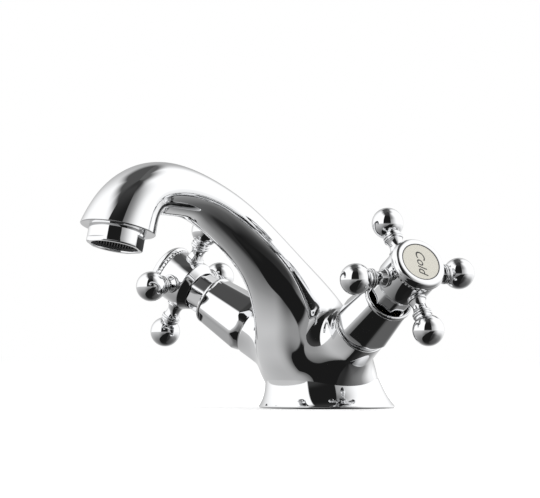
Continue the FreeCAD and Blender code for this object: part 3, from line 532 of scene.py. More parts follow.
def onto_body(spout, p, blend, rounds=4, at=None):
    """Moves points onto the body's skin; gives them, its outward directions there and their travel."""
    if at is None:
        at = spout.travel_at(p[:, 1:3])
    for _ in range(rounds):
        at = spout.refine(at, p[:, 1:3])
        value = body_distance(spout, p, at, blend)
        slope = slope_of(spout, p, at, blend)
        size = np.maximum((slope ** 2).sum(1), 1e-6)
        p = p - np.clip(value / size, -1.0, 1.0)[:, None] * slope
    at = spout.refine(at, p[:, 1:3])
    slope = slope_of(spout, p, at, blend)
    return p, slope / np.maximum(np.linalg.norm(slope, axis=1), 1e-9)[:, None], at


def body_skin(step, blend):
    """Even mesh on the blended body, with its outward directions."""
    spout = SpoutForm()
    counts = np.ceil((BODY_HIGH - BODY_LOW) / step).astype(int) + 1
    axes = [BODY_LOW[i] + step * np.arange(counts[i]) for i in range(3)]
    yz = np.stack(np.meshgrid(axes[1], axes[2], indexing="ij"), -1).reshape(-1, 2)
    at_yz = spout.travel_at(yz)
    values = np.empty(tuple(counts))
    for i, x in enumerate(axes[0]):
        p = np.column_stack([np.full(len(yz), x), yz])
        values[i] = body_distance(spout, p, at_yz, blend).reshape(counts[1], counts[2])
    inside = values < 0.0

    corners = np.zeros(tuple(counts - 1), int)
    total = np.zeros(tuple(counts - 1) + (3,))
    for axis in range(3):
        others = [i for i in range(3) if i != axis]
        for a in (0, 1):
            for b in (0, 1):
                offset = [0, 0, 0]
                offset[others[0]], offset[others[1]] = a, b
                start = tuple(slice(o, o + n - 1) for o, n in zip(offset, counts))
                ahead = list(offset)
                ahead[axis] = 1
                stop = tuple(slice(o, o + n - 1) for o, n in zip(ahead, counts))
                v0, v1 = values[start], values[stop]
                crossing = (v0 < 0) != (v1 < 0)
                share = np.where(crossing, v0 / np.where(crossing, v0 - v1, 1.0), 0.0)
                spot = [np.full(share.shape, float(o)) for o in offset]
                spot[axis] = share
                corners += crossing
                total += np.where(crossing[..., None], np.stack(spot, -1), 0.0)
    used = corners > 0
    index = np.full(corners.shape, -1)
    index[used] = np.arange(used.sum())
    cells = np.argwhere(used)
    points = BODY_LOW + step * (cells + total[used] / corners[used][:, None])

    faces = []
    for axis in range(3):
        others = [i for i in range(3) if i != axis]
        start = [slice(1, n - 1) for n in counts]
        start[axis] = slice(0, counts[axis] - 1)
        stop = list(start)
        stop[axis] = slice(1, counts[axis])
        v0, v1 = inside[tuple(start)], inside[tuple(stop)]
        base = np.argwhere(v0 != v1)
        outward = v0[tuple(base.T)]
        cell = base.copy()
        for o in others:
            cell[:, o] += 1
        quad = []
        for a, b in ((0, 0), (1, 0), (1, 1), (0, 1)):
            c = cell.copy()
            c[:, others[0]] -= a
            c[:, others[1]] -= b
            quad.append(index[tuple(c.T)])
        quad = np.stack(quad, 1)
        flip = outward if axis != 1 else ~outward
        quad[~flip] = quad[~flip][:, ::-1]
        faces.append(quad)
    faces = np.concatenate(faces)
    faces = faces[(faces >= 0).all(1)]

    points, _, at = onto_body(spout, points, blend, rounds=3)
    edges = np.concatenate([faces[:, [0, 1]], faces[:, [1, 2]], faces[:, [2, 3]], faces[:, [3, 0]]])
    for _ in range(4):
        total = np.zeros_like(points)
        count = np.zeros(len(points))
        for a, b in ((0, 1), (1, 0)):
            np.add.at(total, edges[:, a], points[edges[:, b]])
            np.add.at(count, edges[:, a], 1.0)
        points = points + 0.6 * (total / np.maximum(count, 1.0)[:, None] - points)
        points, _, at = onto_body(spout, points, blend, rounds=1, at=at)

    points, faces = split_quads(points, faces)
    points, outward, _ = onto_body(spout, points, blend, rounds=3)
    return points, faces, outward


def split_quads(points, faces):
    """Each quad becomes four."""
    pairs = np.sort(np.concatenate([faces[:, [k, (k + 1) % 4]] for k in range(4)]), axis=1)
    unique, where = np.unique(pairs, axis=0, return_inverse=True)
    where = where.reshape(4, -1).T
    middles = points[unique].mean(1)
    centres = points[faces].mean(1)
    edge_at = len(points) + where
    centre_at = len(points) + len(middles) + np.arange(len(faces))
    made = []
    for k in range(4):
        made.append(np.stack([faces[:, k], edge_at[:, k], centre_at, edge_at[:, k - 1]], 1))
    return np.concatenate([points, middles, centres]), np.concatenate(made)


def near_place(middles, where):
    """Which faces, by their middles, belong to the nose, the foot or the outer end of a valve arm."""
    foot_top, nose_back, arm_end, arm_reach = 12.0, -100.0, 30.0, 15.0
    if where == "foot":
        return middles[:, 2] < foot_top
    if where == "nose":
        return middles[:, 1] < nose_back
    root, axis, _, _ = valve_frame(where)
    w = middles - root
    along = w @ axis
    return (along > arm_end) & (np.linalg.norm(w - along[:, None] * axis, axis=1) < arm_reach)


def points_and_faces(mesh):
    """Points and faces of an edited mesh."""
    mesh.verts.index_update()
    points = np.array([tuple(v.co) for v in mesh.verts])
    return points, [tuple(v.index for v in f.verts) for f in mesh.faces]


def in_order(loop):
    """Vertices of a closed loop of edges, one after the other."""
    chain = [loop[0].verts[0], loop[0].verts[1]]
    left = set(loop[1:])
    while left:
        following = next((e for e in chain[-1].link_edges if e in left), None)
        if following is None:
            break
        left.discard(following)
        chain.append(following.other_vert(chain[-1]))
    if chain[0] is chain[-1]:
        chain.pop()
    return chain


def trimmed(points, faces, outward, cuts):
    """Skin cut off beyond some planes, each near one place, and each new edge's points in order."""
    mesh = bmesh.new()
    layer = mesh.verts.layers.float_vector.new("outward")
    verts = [mesh.verts.new(p) for p in points]
    for vert, direction in zip(verts, outward):
        vert[layer] = direction
    for face in faces:
        mesh.faces.new([verts[i] for i in face])
    edges = []
    for spot, direction, where in cuts:
        mesh.faces.ensure_lookup_table()
        middles = np.array([f.calc_center_median() for f in mesh.faces])
        near = [mesh.faces[i] for i in np.flatnonzero(near_place(middles, where))]
        lines = list(dict.fromkeys(e for f in near for e in f.edges))
        corners = list(dict.fromkeys(v for f in near for v in f.verts))
        result = bmesh.ops.bisect_plane(
            mesh, geom=corners + lines + near, dist=1e-4,
            plane_co=Vector(spot), plane_no=Vector(direction), clear_outer=True)
        loop = [e for e in result["geom_cut"] if isinstance(e, bmesh.types.BMEdge)]
        edges.append(np.array([tuple(v.co) for v in in_order(loop)]))
    new_points, new_faces = points_and_faces(mesh)
    new_outward = np.array([tuple(v[layer]) for v in mesh.verts])
    new_outward /= np.maximum(np.linalg.norm(new_outward, axis=1), 1e-9)[:, None]
    mesh.free()
    return new_points, new_faces, new_outward, edges


# ---------------------------------------------------------------- materials
def node_group(name, inputs, outputs):
    """Empty shader node group with named sockets."""
    group = bpy.data.node_groups.new(name, "ShaderNodeTree")
    for label, kind, value in inputs:
        socket = group.interface.new_socket(name=label, in_out="INPUT", socket_type=kind)
        socket.default_value = value
    for label, kind in outputs:
        group.interface.new_socket(name=label, in_out="OUTPUT", socket_type=kind)
    return group, group.nodes.new("NodeGroupInput"), group.nodes.new("NodeGroupOutput")


def wired(tree, *wires):
    """Links nodes. Each wire: node, its output, node, its input."""
    for source, output, target, entry in wires:
        tree.links.new(source.outputs[output], target.inputs[entry])


def polish_group():
    """Faint cloudiness and waviness of polished plating."""
    group, given, result = node_group(
        "polish_wear",
        [("Cloud Scale", "NodeSocketFloat", 90.0), ("Lowest", "NodeSocketFloat", 0.03),
         ("Highest", "NodeSocketFloat", 0.07), ("Wave Scale", "NodeSocketFloat", 40.0)],
        [("Roughness", "NodeSocketFloat"), ("Height", "NodeSocketFloat")])
    place = group.nodes.new("ShaderNodeTexCoord")
    cloud = group.nodes.new("ShaderNodeTexNoise")
    cloud.inputs["Detail"].default_value = 3.0
    wave = group.nodes.new("ShaderNodeTexNoise")
    wave.inputs["Detail"].default_value = 1.0
    spread = group.nodes.new("ShaderNodeMapRange")
    wired(group, (place, "Object", cloud, "Vector"), (place, "Object", wave, "Vector"),
          (given, "Cloud Scale", cloud, "Scale"), (given, "Wave Scale", wave, "Scale"),
          (cloud, "Fac", spread, "Value"), (given, "Lowest", spread, "To Min"),
          (given, "Highest", spread, "To Max"), (spread, "Result", result, "Roughness"),
          (wave, "Fac", result, "Height"))
    return group


def grain_group():
    """Fine speckle for moulded, cast and glazed surfaces."""
    group, given, result = node_group(
        "surface_grain",
        [("Base", "NodeSocketColor", (0.5, 0.5, 0.5, 1.0)), ("Shade", "NodeSocketFloat", 0.06),
         ("Scale", "NodeSocketFloat", 900.0)],
        [("Color", "NodeSocketColor"), ("Height", "NodeSocketFloat")])
    place = group.nodes.new("ShaderNodeTexCoord")
    grain = group.nodes.new("ShaderNodeTexNoise")
    grain.inputs["Detail"].default_value = 4.0
    dark = group.nodes.new("ShaderNodeMix")
    dark.data_type = "RGBA"
    dark.blend_type = "MULTIPLY"
    dark.inputs["B"].default_value = (0.35, 0.35, 0.35, 1.0)
    scaled = group.nodes.new("ShaderNodeMath")
    scaled.operation = "MULTIPLY"
    wired(group, (place, "Object", grain, "Vector"), (given, "Scale", grain, "Scale"),
          (grain, "Fac", scaled, 0), (given, "Shade", scaled, 1),
          (scaled, "Value", dark, "Factor"), (given, "Base", dark, "A"),
          (dark, "Result", result, "Color"), (grain, "Fac", result, "Height"))
    return group


def empty_material(name):
    """New material and its Principled shader."""
    made = bpy.data.materials.new(name)
    made.use_nodes = True
    shader = next(n for n in made.node_tree.nodes if n.type == "BSDF_PRINCIPLED")
    return made, shader


def with_group(made, shader, group, values, output, entry, strength, distance):
    """Adds a node group that drives one input of the shader, and its bump from the group's height."""
    tree = made.node_tree
    wear = tree.nodes.new("ShaderNodeGroup")
    wear.node_tree = group
    for name, value in values.items():
        wear.inputs[name].default_value = value
    bump = tree.nodes.new("ShaderNodeBump")
    bump.inputs["Strength"].default_value = strength
    bump.inputs["Distance"].default_value = distance
    wired(tree, (wear, output, shader, entry), (wear, "Height", bump, "Height"),
          (bump, "Normal", shader, "Normal"))


def plated(name, tint, group, lowest, highest, wave):
    """Polished chrome plate."""
    made, shader = empty_material(name)
    shader.inputs["Base Color"].default_value = (*tint, 1.0)
    shader.inputs["Metallic"].default_value = 1.0
    with_group(made, shader, group, {"Lowest": lowest, "Highest": highest},
               "Roughness", "Roughness", strength=wave, distance=0.2 * MM)


def grained(name, colour, group, roughness, scale, shade,
            metallic=0.0, coat=0.0, bump=0.05, gloss=0.5):
    """Moulded, glazed or machined surface with fine speckle."""
    made, shader = empty_material(name)
    shader.inputs["Roughness"].default_value = roughness
    shader.inputs["Metallic"].default_value = metallic
    shader.inputs["Coat Weight"].default_value = coat
    shader.inputs["Specular IOR Level"].default_value = gloss
    with_group(made, shader, group, {"Base": (*colour, 1.0), "Scale": scale, "Shade": shade},
               "Color", "Base Color", strength=bump, distance=0.1 * MM)


def materials():
    """The finishes, made once. None has the name of a material slot in the record."""
    if "plated_body" in bpy.data.materials:
        return bpy.data.materials
    finish = bpy.context.scene.tap_finish
    polish, grain = polish_group(), grain_group()
    plated("plated_body", finish.chrome, polish, lowest=0.02, highest=0.035, wave=0.02)
    plated("plated_trim", finish.chrome, polish, lowest=0.02, highest=0.035, wave=0.01)
    grained("glazed_cream", finish.cream, grain, 0.3, 300.0, 0.03, coat=0.3, bump=0.01)
    # Ink for the printed words, also used for the ring of painted shade over each disc's seam.
    grained("print_ink", finish.print_ink, grain, 0.45, 900.0, 0.05)
    grained("moulded_black", finish.insert, grain, 0.5, 900.0, 0.2, bump=0.2, gloss=0.3)
    grained("machined_brass", finish.brass, grain, 0.28, 500.0, 0.2, metallic=1.0)
    grained("seal_rubber", finish.rubber, grain, 0.6, 800.0, 0.2, bump=0.3)
    grained("lapped_ceramic", finish.ceramic, grain, 0.2, 700.0, 0.05)
    grained("bright_steel", finish.steel, grain, 0.3, 500.0, 0.15, metallic=1.0)
    return bpy.data.materials


# ---------------------------------------------------------------- pieces
def area_normals(points, faces):
    """Direction at each point, weighted by the faces round it."""
    points = np.asarray(points, float)
    total = np.zeros_like(points)
    for size in {len(face) for face in faces}:
        some = np.array([face for face in faces if len(face) == size])
        corners = points[some]
        normal = np.cross(corners, np.roll(corners, -1, axis=1)).sum(1)
        for k in range(size):
            np.add.at(total, some[:, k], normal)
    return total / np.maximum(np.linalg.norm(total, axis=1), 1e-12)[:, None]


def rim(edge, centre, axis, rounding, hole_r, depth):
    """Rounded edge, flat face and bore wall inside the cut edge of the body."""
    radial = edge - centre
    radial = radial - (radial @ axis)[:, None] * axis
    way = radial / np.linalg.norm(radial, axis=1)[:, None]
    rows = []
    for k in range(5):
        angle = math.pi / 2.0 * k / 4.0
        rows.append(edge - way * rounding * (1.0 - math.cos(angle)) + axis * rounding * math.sin(angle))
    bevel, bevel_depth = 0.05, 0.3
    inner = centre + axis * rounding + way * hole_r
    rows += [inner, inner - way * bevel - axis * bevel_depth, inner - way * bevel - axis * depth]
    points, faces = np.concatenate(rows), ring_faces(len(rows), len(edge))
    first = points[list(faces[0])]
    normal = np.cross(first[1] - first[0], first[2] - first[0])
    return points, flipped(faces) if normal @ way[0] < 0 else faces


class TAP_OT_cast_body(bpy.types.Operator):
    """Foot, valve arms and spout as one smooth plated casting"""
    bl_idname = "tap.cast_body"
    bl_label = "Cast body"

    def execute(self, context):
        form = context.scene.tap_form
        points, faces, outward = body_skin(form.mesh_step / MM, form.arm_blend / MM)
        outward = self.levelled(points, outward)
        rounding, foot_cut = 0.45, 9.0
        centre, out, _, _ = nose_frame()
        cuts = [(centre - out * rounding, out, "nose")]
        bores = [NOSE_BORE]
        for side in SIDES:
            root, axis, _, _ = valve_frame(side)
            cuts.append((root + axis * (SOCKET_FACE - rounding), axis, side))
            bores.append(SOCKET_BORE)
        cuts.append(((0, 0, foot_cut), (0, 0, -1.0), "foot"))
        points, faces, outward, edges = trimmed(points, faces, outward, cuts)
        shells = []
        for edge, (spot, axis, _), (hole_r, depth) in zip(edges, cuts, bores):
            shells.append(rim(edge, spot, axis, rounding, hole_r, depth))
        shells += [self.foot(), self.underside()]
        directions = [outward] + [area_normals(p, f) for p, f in shells]
        all_points, all_faces = join_meshes((points, faces), *shells)
        body = piece("cast_body", all_points, all_faces, "tap_body", materials()["plated_body"],
                     normals=np.concatenate(directions))
        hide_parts("body_casting")
        return {"FINISHED"}

    def levelled(self, points, outward):
        """Outward directions with less fall where the lower body faces forward.

        Only the shading changes, not the form: there the plating then mirrors the room and not the floor.
        """
        forward_from, forward_full = 0.77, 0.92    # share of a direction, seen in plan, that is forward
        full_below, none_above = 23.0, 36.0        # heights
        most, least_plan = 0.82, 0.3
        plan = np.hypot(outward[:, 0], outward[:, 1])
        front = step_up(-outward[:, 1] / np.maximum(plan, 1e-9), forward_from, forward_full)
        front = front * (1.0 - step_up(points[:, 2], full_below, none_above))
        level = outward.copy()
        level[:, 2] *= 1.0 - most * front * (plan > least_plan) * (outward[:, 2] < 0.0)
        return level / np.linalg.norm(level, axis=1)[:, None]

    def foot(self):
        """Skirt with its lip, and the ledge where the body stands in it."""
        profile = [(FOOT_EDGE_R, 0.0), (29.55, 0.12), (29.85, 0.45), (29.98, FOOT_LIP_Z)]
        middles = [0.0] * len(profile)
        for k in range(1, 41):
            share = k / 40.0
            waist = SKIRT_WAIST * math.sin(math.pi * share ** SKIRT_WAIST_SKEW)
            profile.append((FOOT_LIP_R - share * SKIRT_DRAW_IN - waist, FOOT_LIP_Z + share * SKIRT_HEIGHT))
            middles.append(-SKIRT_LEAN * share ** SKIRT_LEAN_GROWTH)
        ledge = [(24.75, 13.12), (24.5, 13.15), (23.6, 13.1)]
        middles += [-SKIRT_LEAN] * len(ledge)
        return turned(profile + ledge, steps=160, centre_y=middles)

    def underside(self):
        """Flat seat, groove for the rubber ring and the hollow under the foot, with its holes."""
        profile = [(FOOT_EDGE_R, 0.0), (GROOVE_OUTER_R, 0.0), (GROOVE_OUTER_R, GROOVE_DEPTH),
                   (GROOVE_INNER_R, GROOVE_DEPTH), (GROOVE_INNER_R, 0.0),
                   (RECESS_R, 0.0), (RECESS_R, RECESS_DEPTH)]
        seat_points, seat_faces = turned(profile, steps=96)
        mesh = bmesh.new()
        rings = []
        for radius, x, y, count in [(RECESS_R, 0, 0, 96)] + [(r, x, y, 32) for r, x, y, _ in FOOT_HOLES]:
            ring = []
            for k in range(count):
                angle = 2 * math.pi * k / count
                spot = (x + radius * math.cos(angle), y + radius * math.sin(angle), RECESS_DEPTH)
                ring.append(mesh.verts.new(spot))
            rings.append(ring)
            for k in range(count):
                mesh.edges.new((ring[k], ring[(k + 1) % count]))
        bmesh.ops.triangle_fill(mesh, use_beauty=True, edges=mesh.edges[:], normal=(0, 0, -1))
        for ring, (_, _, _, depth) in zip(rings[1:], FOOT_HOLES):
            top = [mesh.verts.new((v.co.x, v.co.y, RECESS_DEPTH + depth)) for v in ring]
            for k in range(len(ring)):
                following = (k + 1) % len(ring)
                mesh.faces.new((ring[k], ring[following], top[following], top[k]))
            mesh.faces.new(top)
        roof = points_and_faces(mesh)
        mesh.free()
        return join_meshes((seat_points, flipped(seat_faces)), roof)


class TAP_OT_aerator(bpy.types.Operator):
    """Screwed sleeve with wrench flats and its slatted insert"""
    bl_idname = "tap.aerator"
    bl_label = "Aerator"

    def execute(self, context):
        finish = materials()
        points, faces = self.sleeve()
        made = piece("aerator_sleeve_skin", at_nose(points), faces, "tap_body",
                     finish["plated_trim"], sharp=30)
        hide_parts("aerator_sleeve")
        points, faces = self.insert()
        made = piece("aerator_slats", at_nose(points), faces, "tap_body",
                     finish["moulded_black"], sharp=30)
        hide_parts("aerator_insert")
        return {"FINISHED"}

    def sleeve(self):
        """Sleeve, with an edge ring on either side of where each wrench flat ends."""
        mouth = SLEEVE_MOUTH
        rows = [(SLEEVE_THREAD_R, SLEEVE_THREAD_END), (SLEEVE_THREAD_R, -0.2), (SLEEVE_R, 0.2)]
        rows += shifted([(SLEEVE_R, -5.22), (SLEEVE_R, -5.18), (SLEEVE_R, -1.82), (SLEEVE_R, -1.78),
                         (SLEEVE_R, -0.6), (11.95, -0.35), (11.8, -0.14), (11.5, 0.0),
                         (10.05, 0.0), (9.92, -0.05), (SLEEVE_LIP_R, -0.2), (SLEEVE_LIP_R, -1.2),
                         (SLEEVE_BORE_R, -1.25)], mouth)
        rows += [(SLEEVE_BORE_R, SLEEVE_THREAD_END), (SLEEVE_THREAD_R, SLEEVE_THREAD_END)]
        points, faces = turned(rows, steps=240)
        outer = np.hypot(points[:, 0], points[:, 1]) > WRENCH_FLAT + 0.05
        for turn, height in WRENCH_FLATS:
            way = np.array((math.cos(math.radians(turn)), math.sin(math.radians(turn))))
            reach = points[:, :2] @ way
            cut = outer & (points[:, 2] > mouth - height - 0.01) & (reach > WRENCH_FLAT)
            points[cut, :2] -= (reach[cut] - WRENCH_FLAT)[:, None] * way
        return points, flipped(faces)

    def insert(self):
        """Rim of the insert and its slats."""
        rim_points, rim_faces = turned(shifted(
            [(10.15, -9.8), (10.15, -0.2), (9.95, 0.0), (9.0, 0.0), (8.85, 0.12), (8.7, 0.0),
             (INSERT_OPENING_R, -0.15), (INSERT_OPENING_R, -SLAT_DEPTH), (0.0, -SLAT_DEPTH)], INSERT_TOP),
            steps=96)
        parts = [(rim_points, flipped(rim_faces))]
        half_width, bevel, into_rim = SLAT_WIDTH / 2.0, 0.12, 0.05
        section = shifted([(-half_width, -2.95), (-half_width, -0.35), (bevel - half_width, -0.2),
                           (half_width - bevel, -0.2), (half_width, -0.35), (half_width, -2.95)], INSERT_TOP)
        number = int(8.5 / SLAT_PITCH)
        for k in range(-number, number + 1):
            middle = k * SLAT_PITCH
            half = math.sqrt((INSERT_OPENING_R + into_rim) ** 2 - (abs(middle) + half_width) ** 2)
            slat = [(middle + across, end, along) for end in (-half, half) for across, along in section]
            parts.append((spun(np.array(slat), SLAT_TURN), ring_faces(2, len(section))))
        return join_meshes(*parts)


def faceted_skin(levels, steps_per_side=16):
    """Skin round local Z with flats. Each level: flat radius, round radius, along; the smaller one shows."""
    crowding, soft = 1.35, 0.25      # of the steps towards the corners; of the edge where flat meets round
    side = 2.0 * math.pi / FACETS
    angles = []
    for number in range(FACETS):
        for k in range(steps_per_side):
            share = (k / steps_per_side - 0.5) * 2.0
            bent = math.copysign(1.0 - (1.0 - abs(share)) ** crowding, share)
            angles.append((number + bent / 2.0) * side)
    angles = np.array(angles)
    nearest = (angles + side / 2.0) % side - side / 2.0
    points = []
    for flat_r, round_r, along in levels:
        flat = flat_r / np.cos(nearest)
        gap = np.maximum(soft - np.abs(flat - round_r), 0.0) / soft
        radius = np.minimum(flat, round_r) - gap * gap * soft * 0.25
        height = np.full(len(angles), along)
        points.append(np.column_stack([radius * np.cos(angles), radius * np.sin(angles), height]))
    return np.concatenate(points), ring_faces(len(levels), len(angles))


class TAP_OT_valve_covers(bpy.types.Operator):
    """Eight-sided bells over both valves, with a bead at each mouth"""
    bl_idname = "tap.valve_covers"
    bl_label = "Valve covers"

    def execute(self, context):
        points, faces = self.cover()
        for side in SIDES:
            made = piece(side + "_cover_skin", on_valve(points, side), faces, "tap_body",
                         materials()["plated_trim"], sharp=38)
            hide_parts(side + "_valve_cover")
        return {"FINISHED"}

    def cover(self):
        """One bell: its outside, the bead with the mouth and the web, and its inside."""
        levels = []
        for radius, above in ((11.2, -0.5), (11.4, -0.48), (COVER_FOOT_R, -0.35), (COVER_FOOT_R, 0.08)):
            levels.append((COVER_WIDE_FLAT, radius, COVER_FOOT + above))
        wide_r = COVER_WIDE_FLAT * CORNER - COVER_TRIM
        for k in range(1, 17):
            share = k / 16.0
            radius = COVER_FOOT_R + share * (wide_r - COVER_FOOT_R)
            levels.append((COVER_WIDE_FLAT, radius, COVER_FOOT + share * (COVER_WIDE - COVER_FOOT)))
        last = COVER_MOUTH - 2.0
        narrowing = (COVER_MOUTH_FLAT - COVER_WIDE_FLAT) / (COVER_MOUTH - COVER_WIDE)
        for k in range(1, 25):
            along = COVER_WIDE + k / 24.0 * (last - COVER_WIDE)
            flat = COVER_WIDE_FLAT + narrowing * (along - COVER_WIDE)
            levels.append((flat, flat * CORNER - COVER_TRIM, along))
        bead = [(10.3, -BEAD_HEIGHT), (BEAD_R, -BEAD_HEIGHT)]
        bead += arc((BEAD_R, -BEAD_HEIGHT), (BEAD_OUTER_R, -BEAD_HEIGHT / 2.0), (BEAD_R, 0.0), 14)
        bead += arc((BEAD_R, 0.0), (10.1, -0.1), (COVER_MOUTH_R, -0.45), 5)
        bead = shifted(bead + [(COVER_MOUTH_R, -1.0)], COVER_MOUTH)
        web = shifted([(COVER_MOUTH_R, 0.6), (9.7, 0.15), (9.3, 0.0), (COVER_WEB_R, 0.0),
                       (COVER_WEB_R, -COVER_WEB_THICKNESS)], COVER_FLOOR)
        under_web = COVER_FLOOR - COVER_WEB_THICKNESS
        inside = [(10.9, COVER_FOOT + 0.25), (11.1, COVER_WIDE),
                  (COVER_MOUTH_R, under_web), (COVER_WEB_R, under_web)]
        inside_points, inside_faces = turned(inside, steps=64)
        return join_meshes(
            faceted_skin(levels), turned(bead + web, steps=128), (inside_points, flipped(inside_faces)))


def handle_piece(side, name, skin, material, sharp=None):
    """Piece drawn about local Z, on a handle as it rests."""
    points, faces = skin
    placed = on_valve(points, side, REST_TURN[side])
    return piece(side + name, placed, faces, side + "_handle", materials()[material], sharp=sharp)


class TAP_OT_cross_handles(bpy.types.Operator):
    """Hubs with eight-sided collars, and the turned spokes with their balls"""
    bl_idname = "tap.cross_handles"
    bl_label = "Cross handles"

    def execute(self, context):
        form = context.scene.tap_form
        hub = self.hub()
        spoke_points, spoke_faces = self.spoke(form.ball_radius / MM, form.spoke_reach / MM)
        laid = np.column_stack([spoke_points[:, 2], spoke_points[:, 1], CROSS - spoke_points[:, 0]])
        spokes = join_meshes(*[(spun(laid, math.pi / 2.0 * k), spoke_faces) for k in range(4)])
        for side in SIDES:
            made = handle_piece(side, "_hub_skin", hub, "plated_trim", sharp=35)
            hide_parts(side + "_handle_hub")
            made = handle_piece(side, "_spokes_skin", spokes, "plated_trim", sharp=40)
            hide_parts(side + "_handle_spokes")
        return {"FINISHED"}

    def hub(self):
        """Round hub with its cavity, and the collar below it."""
        profile = shifted([(9.0, 0.5), (9.0, 0.0), (9.2, 0.0), (9.5, 0.25), (9.62, 0.4)], HUB_FROM)
        profile += shifted([(11.0, -0.2)] + arc((11.0, -0.2), (11.35, 0.2), (HUB_R, 0.8), 6), HUB_WIDE)
        profile += shifted([(HUB_R, -0.3), (11.4, -0.08), (11.2, 0.0), (HUB_CAVITY_R, 0.0),
                            (HUB_CAVITY_R, -HUB_CAVITY_DEPTH), (2.2, -HUB_CAVITY_DEPTH)], HUB_TOP)
        corner = COLLAR_FLAT * CORNER
        low, high = COLLAR_FROM + 0.4, HUB_FROM + 0.3
        levels = [(COLLAR_FLAT - 0.5, corner - 0.6, COLLAR_FROM)]
        for k in range(7):
            levels.append((COLLAR_FLAT, corner - 0.12, low + (high - low) * k / 6.0))
        stem_hole_r, hole_depth = 4.1, 8.0
        under_points, under_faces = turned(
            [(stem_hole_r, COLLAR_FROM + hole_depth), (stem_hole_r, COLLAR_FROM),
             (COLLAR_FLAT - 0.55, COLLAR_FROM)], steps=64)
        return join_meshes(
            turned(profile, steps=128), faceted_skin(levels), (under_points, flipped(under_faces)))

    def spoke(self, ball_r, reach):
        """Turned spoke: boss, neck, double bead and ball."""
        root, neck, boss, bead, valley = 3.65, 2.9, 4.2, 4.2, 3.85
        bead_top = reach - ball_r + 0.35
        beads_from = bead_top - 2.4
        profile = [(0.0, HUB_R - 1.0), (boss - 0.3, HUB_R - 1.0), (boss - 0.3, HUB_R - 0.3)]
        profile += arc((boss - 0.3, HUB_R - 0.3), (boss, HUB_R + 0.3), (boss - 0.6, HUB_R + 0.9), 8)
        profile += arc((boss - 0.6, HUB_R + 0.9), (neck + 0.3, HUB_R + 2.0), (neck, HUB_R + 3.0), 10)
        profile += arc((neck, HUB_R + 3.0), (neck + 0.3, beads_from - 1.0), (root, beads_from), 10)
        profile += arc((root, beads_from), (bead, beads_from + 0.55), (valley, beads_from + 1.2), 10)
        profile += arc((valley, beads_from + 1.2), (bead, bead_top - 0.55), (root, bead_top), 10)
        covered = math.pi - math.asin(root / ball_r)
        for k in range(32):
            angle = covered * (1.0 - k / 32.0)
            profile.append((ball_r * math.sin(angle), reach + ball_r * math.cos(angle)))
        profile.append((0.0, reach + ball_r))
        return turned(profile, steps=64)


class TAP_OT_index_caps(bpy.types.Operator):
    """Screwed caps with knurled edges, their cream discs and the printed words"""
    bl_idname = "tap.index_caps"
    bl_label = "Index caps"

    WORD_TURN = {"cold": -100.0, "hot": 0.0}  # degrees, from the handle's first spoke

    def execute(self, context):
        ring, disc = self.ring(), self.disc()
        # Painted shade: a dark ring in the print colour laid over the disc's edge and the seam round it,
        # where shade falls.
        outer, inner = INDEX_R + 0.12, INDEX_R - 0.2
        section = shifted([(outer, -0.2), (outer, 0.05), (inner, 0.05), (inner, -0.2)], INDEX_LEVEL)
        line = turned(section, steps=128)
        for side in SIDES:
            made = handle_piece(side, "_cap_skin", ring, "plated_trim", sharp=35)
            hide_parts(side + "_index_ring")
            made = handle_piece(side, "_index_face", disc, "glazed_cream", sharp=35)
            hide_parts(side + "_index_disc")
            # The ring of painted shade over the seam.
            handle_piece(side, "_index_line", line, "print_ink")
            self.word(side, context.scene.tap_form.letter_height)
        return {"FINISHED"}

    def ring(self):
        """Cap with its domed shoulder, the seat of the disc and the knurl."""
        knurl_top = CAP_FROM + KNURL_HEIGHT
        seat_r = INDEX_R + INDEX_GAP
        shoulder, crest = (11.65, knurl_top + 0.05), (11.8, knurl_top + 2.05)
        profile = [(8.8, CAP_FROM), (11.6, CAP_FROM), (11.65, knurl_top), shoulder]
        profile += arc(shoulder, (12.25, knurl_top + 1.1), crest, 10)
        profile += arc(crest, (10.9, CAP_TOP - 0.3), (9.75, CAP_TOP), 8)
        profile += shifted([(seat_r + 0.25, 0.0), (seat_r + 0.05, -0.06), (seat_r, -0.25), (seat_r, -1.2),
                            (INDEX_R - 0.5, -1.2)], CAP_TOP)
        points, steps, bevel = [], KNURL_TEETH * 4, 0.15
        for along, depth in ((CAP_FROM, bevel), (CAP_FROM + bevel, 0.0),
                             (knurl_top - bevel, 0.0), (knurl_top, bevel)):
            for k in range(steps):
                angle = 2 * math.pi * k / steps
                radius = KNURL_R + KNURL_WAVE * math.cos(KNURL_TEETH * angle) - depth
                points.append((radius * math.cos(angle), radius * math.sin(angle), along))
        return join_meshes(turned(profile, steps=192), (points, ring_faces(4, steps)))

    def disc(self):
        """Disc with a rounded edge and a faint crown."""
        crown = 0.02
        profile = shifted([(INDEX_R, -1.5), (INDEX_R, -0.25), (INDEX_R - 0.08, -0.08), (INDEX_R - 0.25, 0.0)],
                          INDEX_LEVEL)
        for k in range(1, 11):
            share = 1.0 - k / 10.0
            profile.append((INDEX_R * share, INDEX_LEVEL + crown * (1.0 - share ** 2)))
        return turned(profile, steps=128)

    def word(self, side, height):
        """Plain word printed on the disc, which turns with the handle."""
        curve = bpy.data.curves.new(side + "_word", "FONT")
        curve.body = side.capitalize()
        curve.size = height
        curve.shear = 0.35
        curve.align_x = "CENTER"
        curve.align_y = "CENTER"
        curve.extrude = 0.02 * MM
        curve.resolution_u = 6
        text = linked(side + "_word", curve)
        root, out, upward, third = valve_frame(side)
        angle = math.radians(REST_TURN[side] + self.WORD_TURN[side])
        up = upward * math.cos(angle) + third * math.sin(angle)
        text.matrix_world = standing(np.cross(up, out), up, out, (root + out * (INDEX_LEVEL + 0.05)) * MM)
        curve.materials.append(materials()["print_ink"])
        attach(text, side + "_handle")


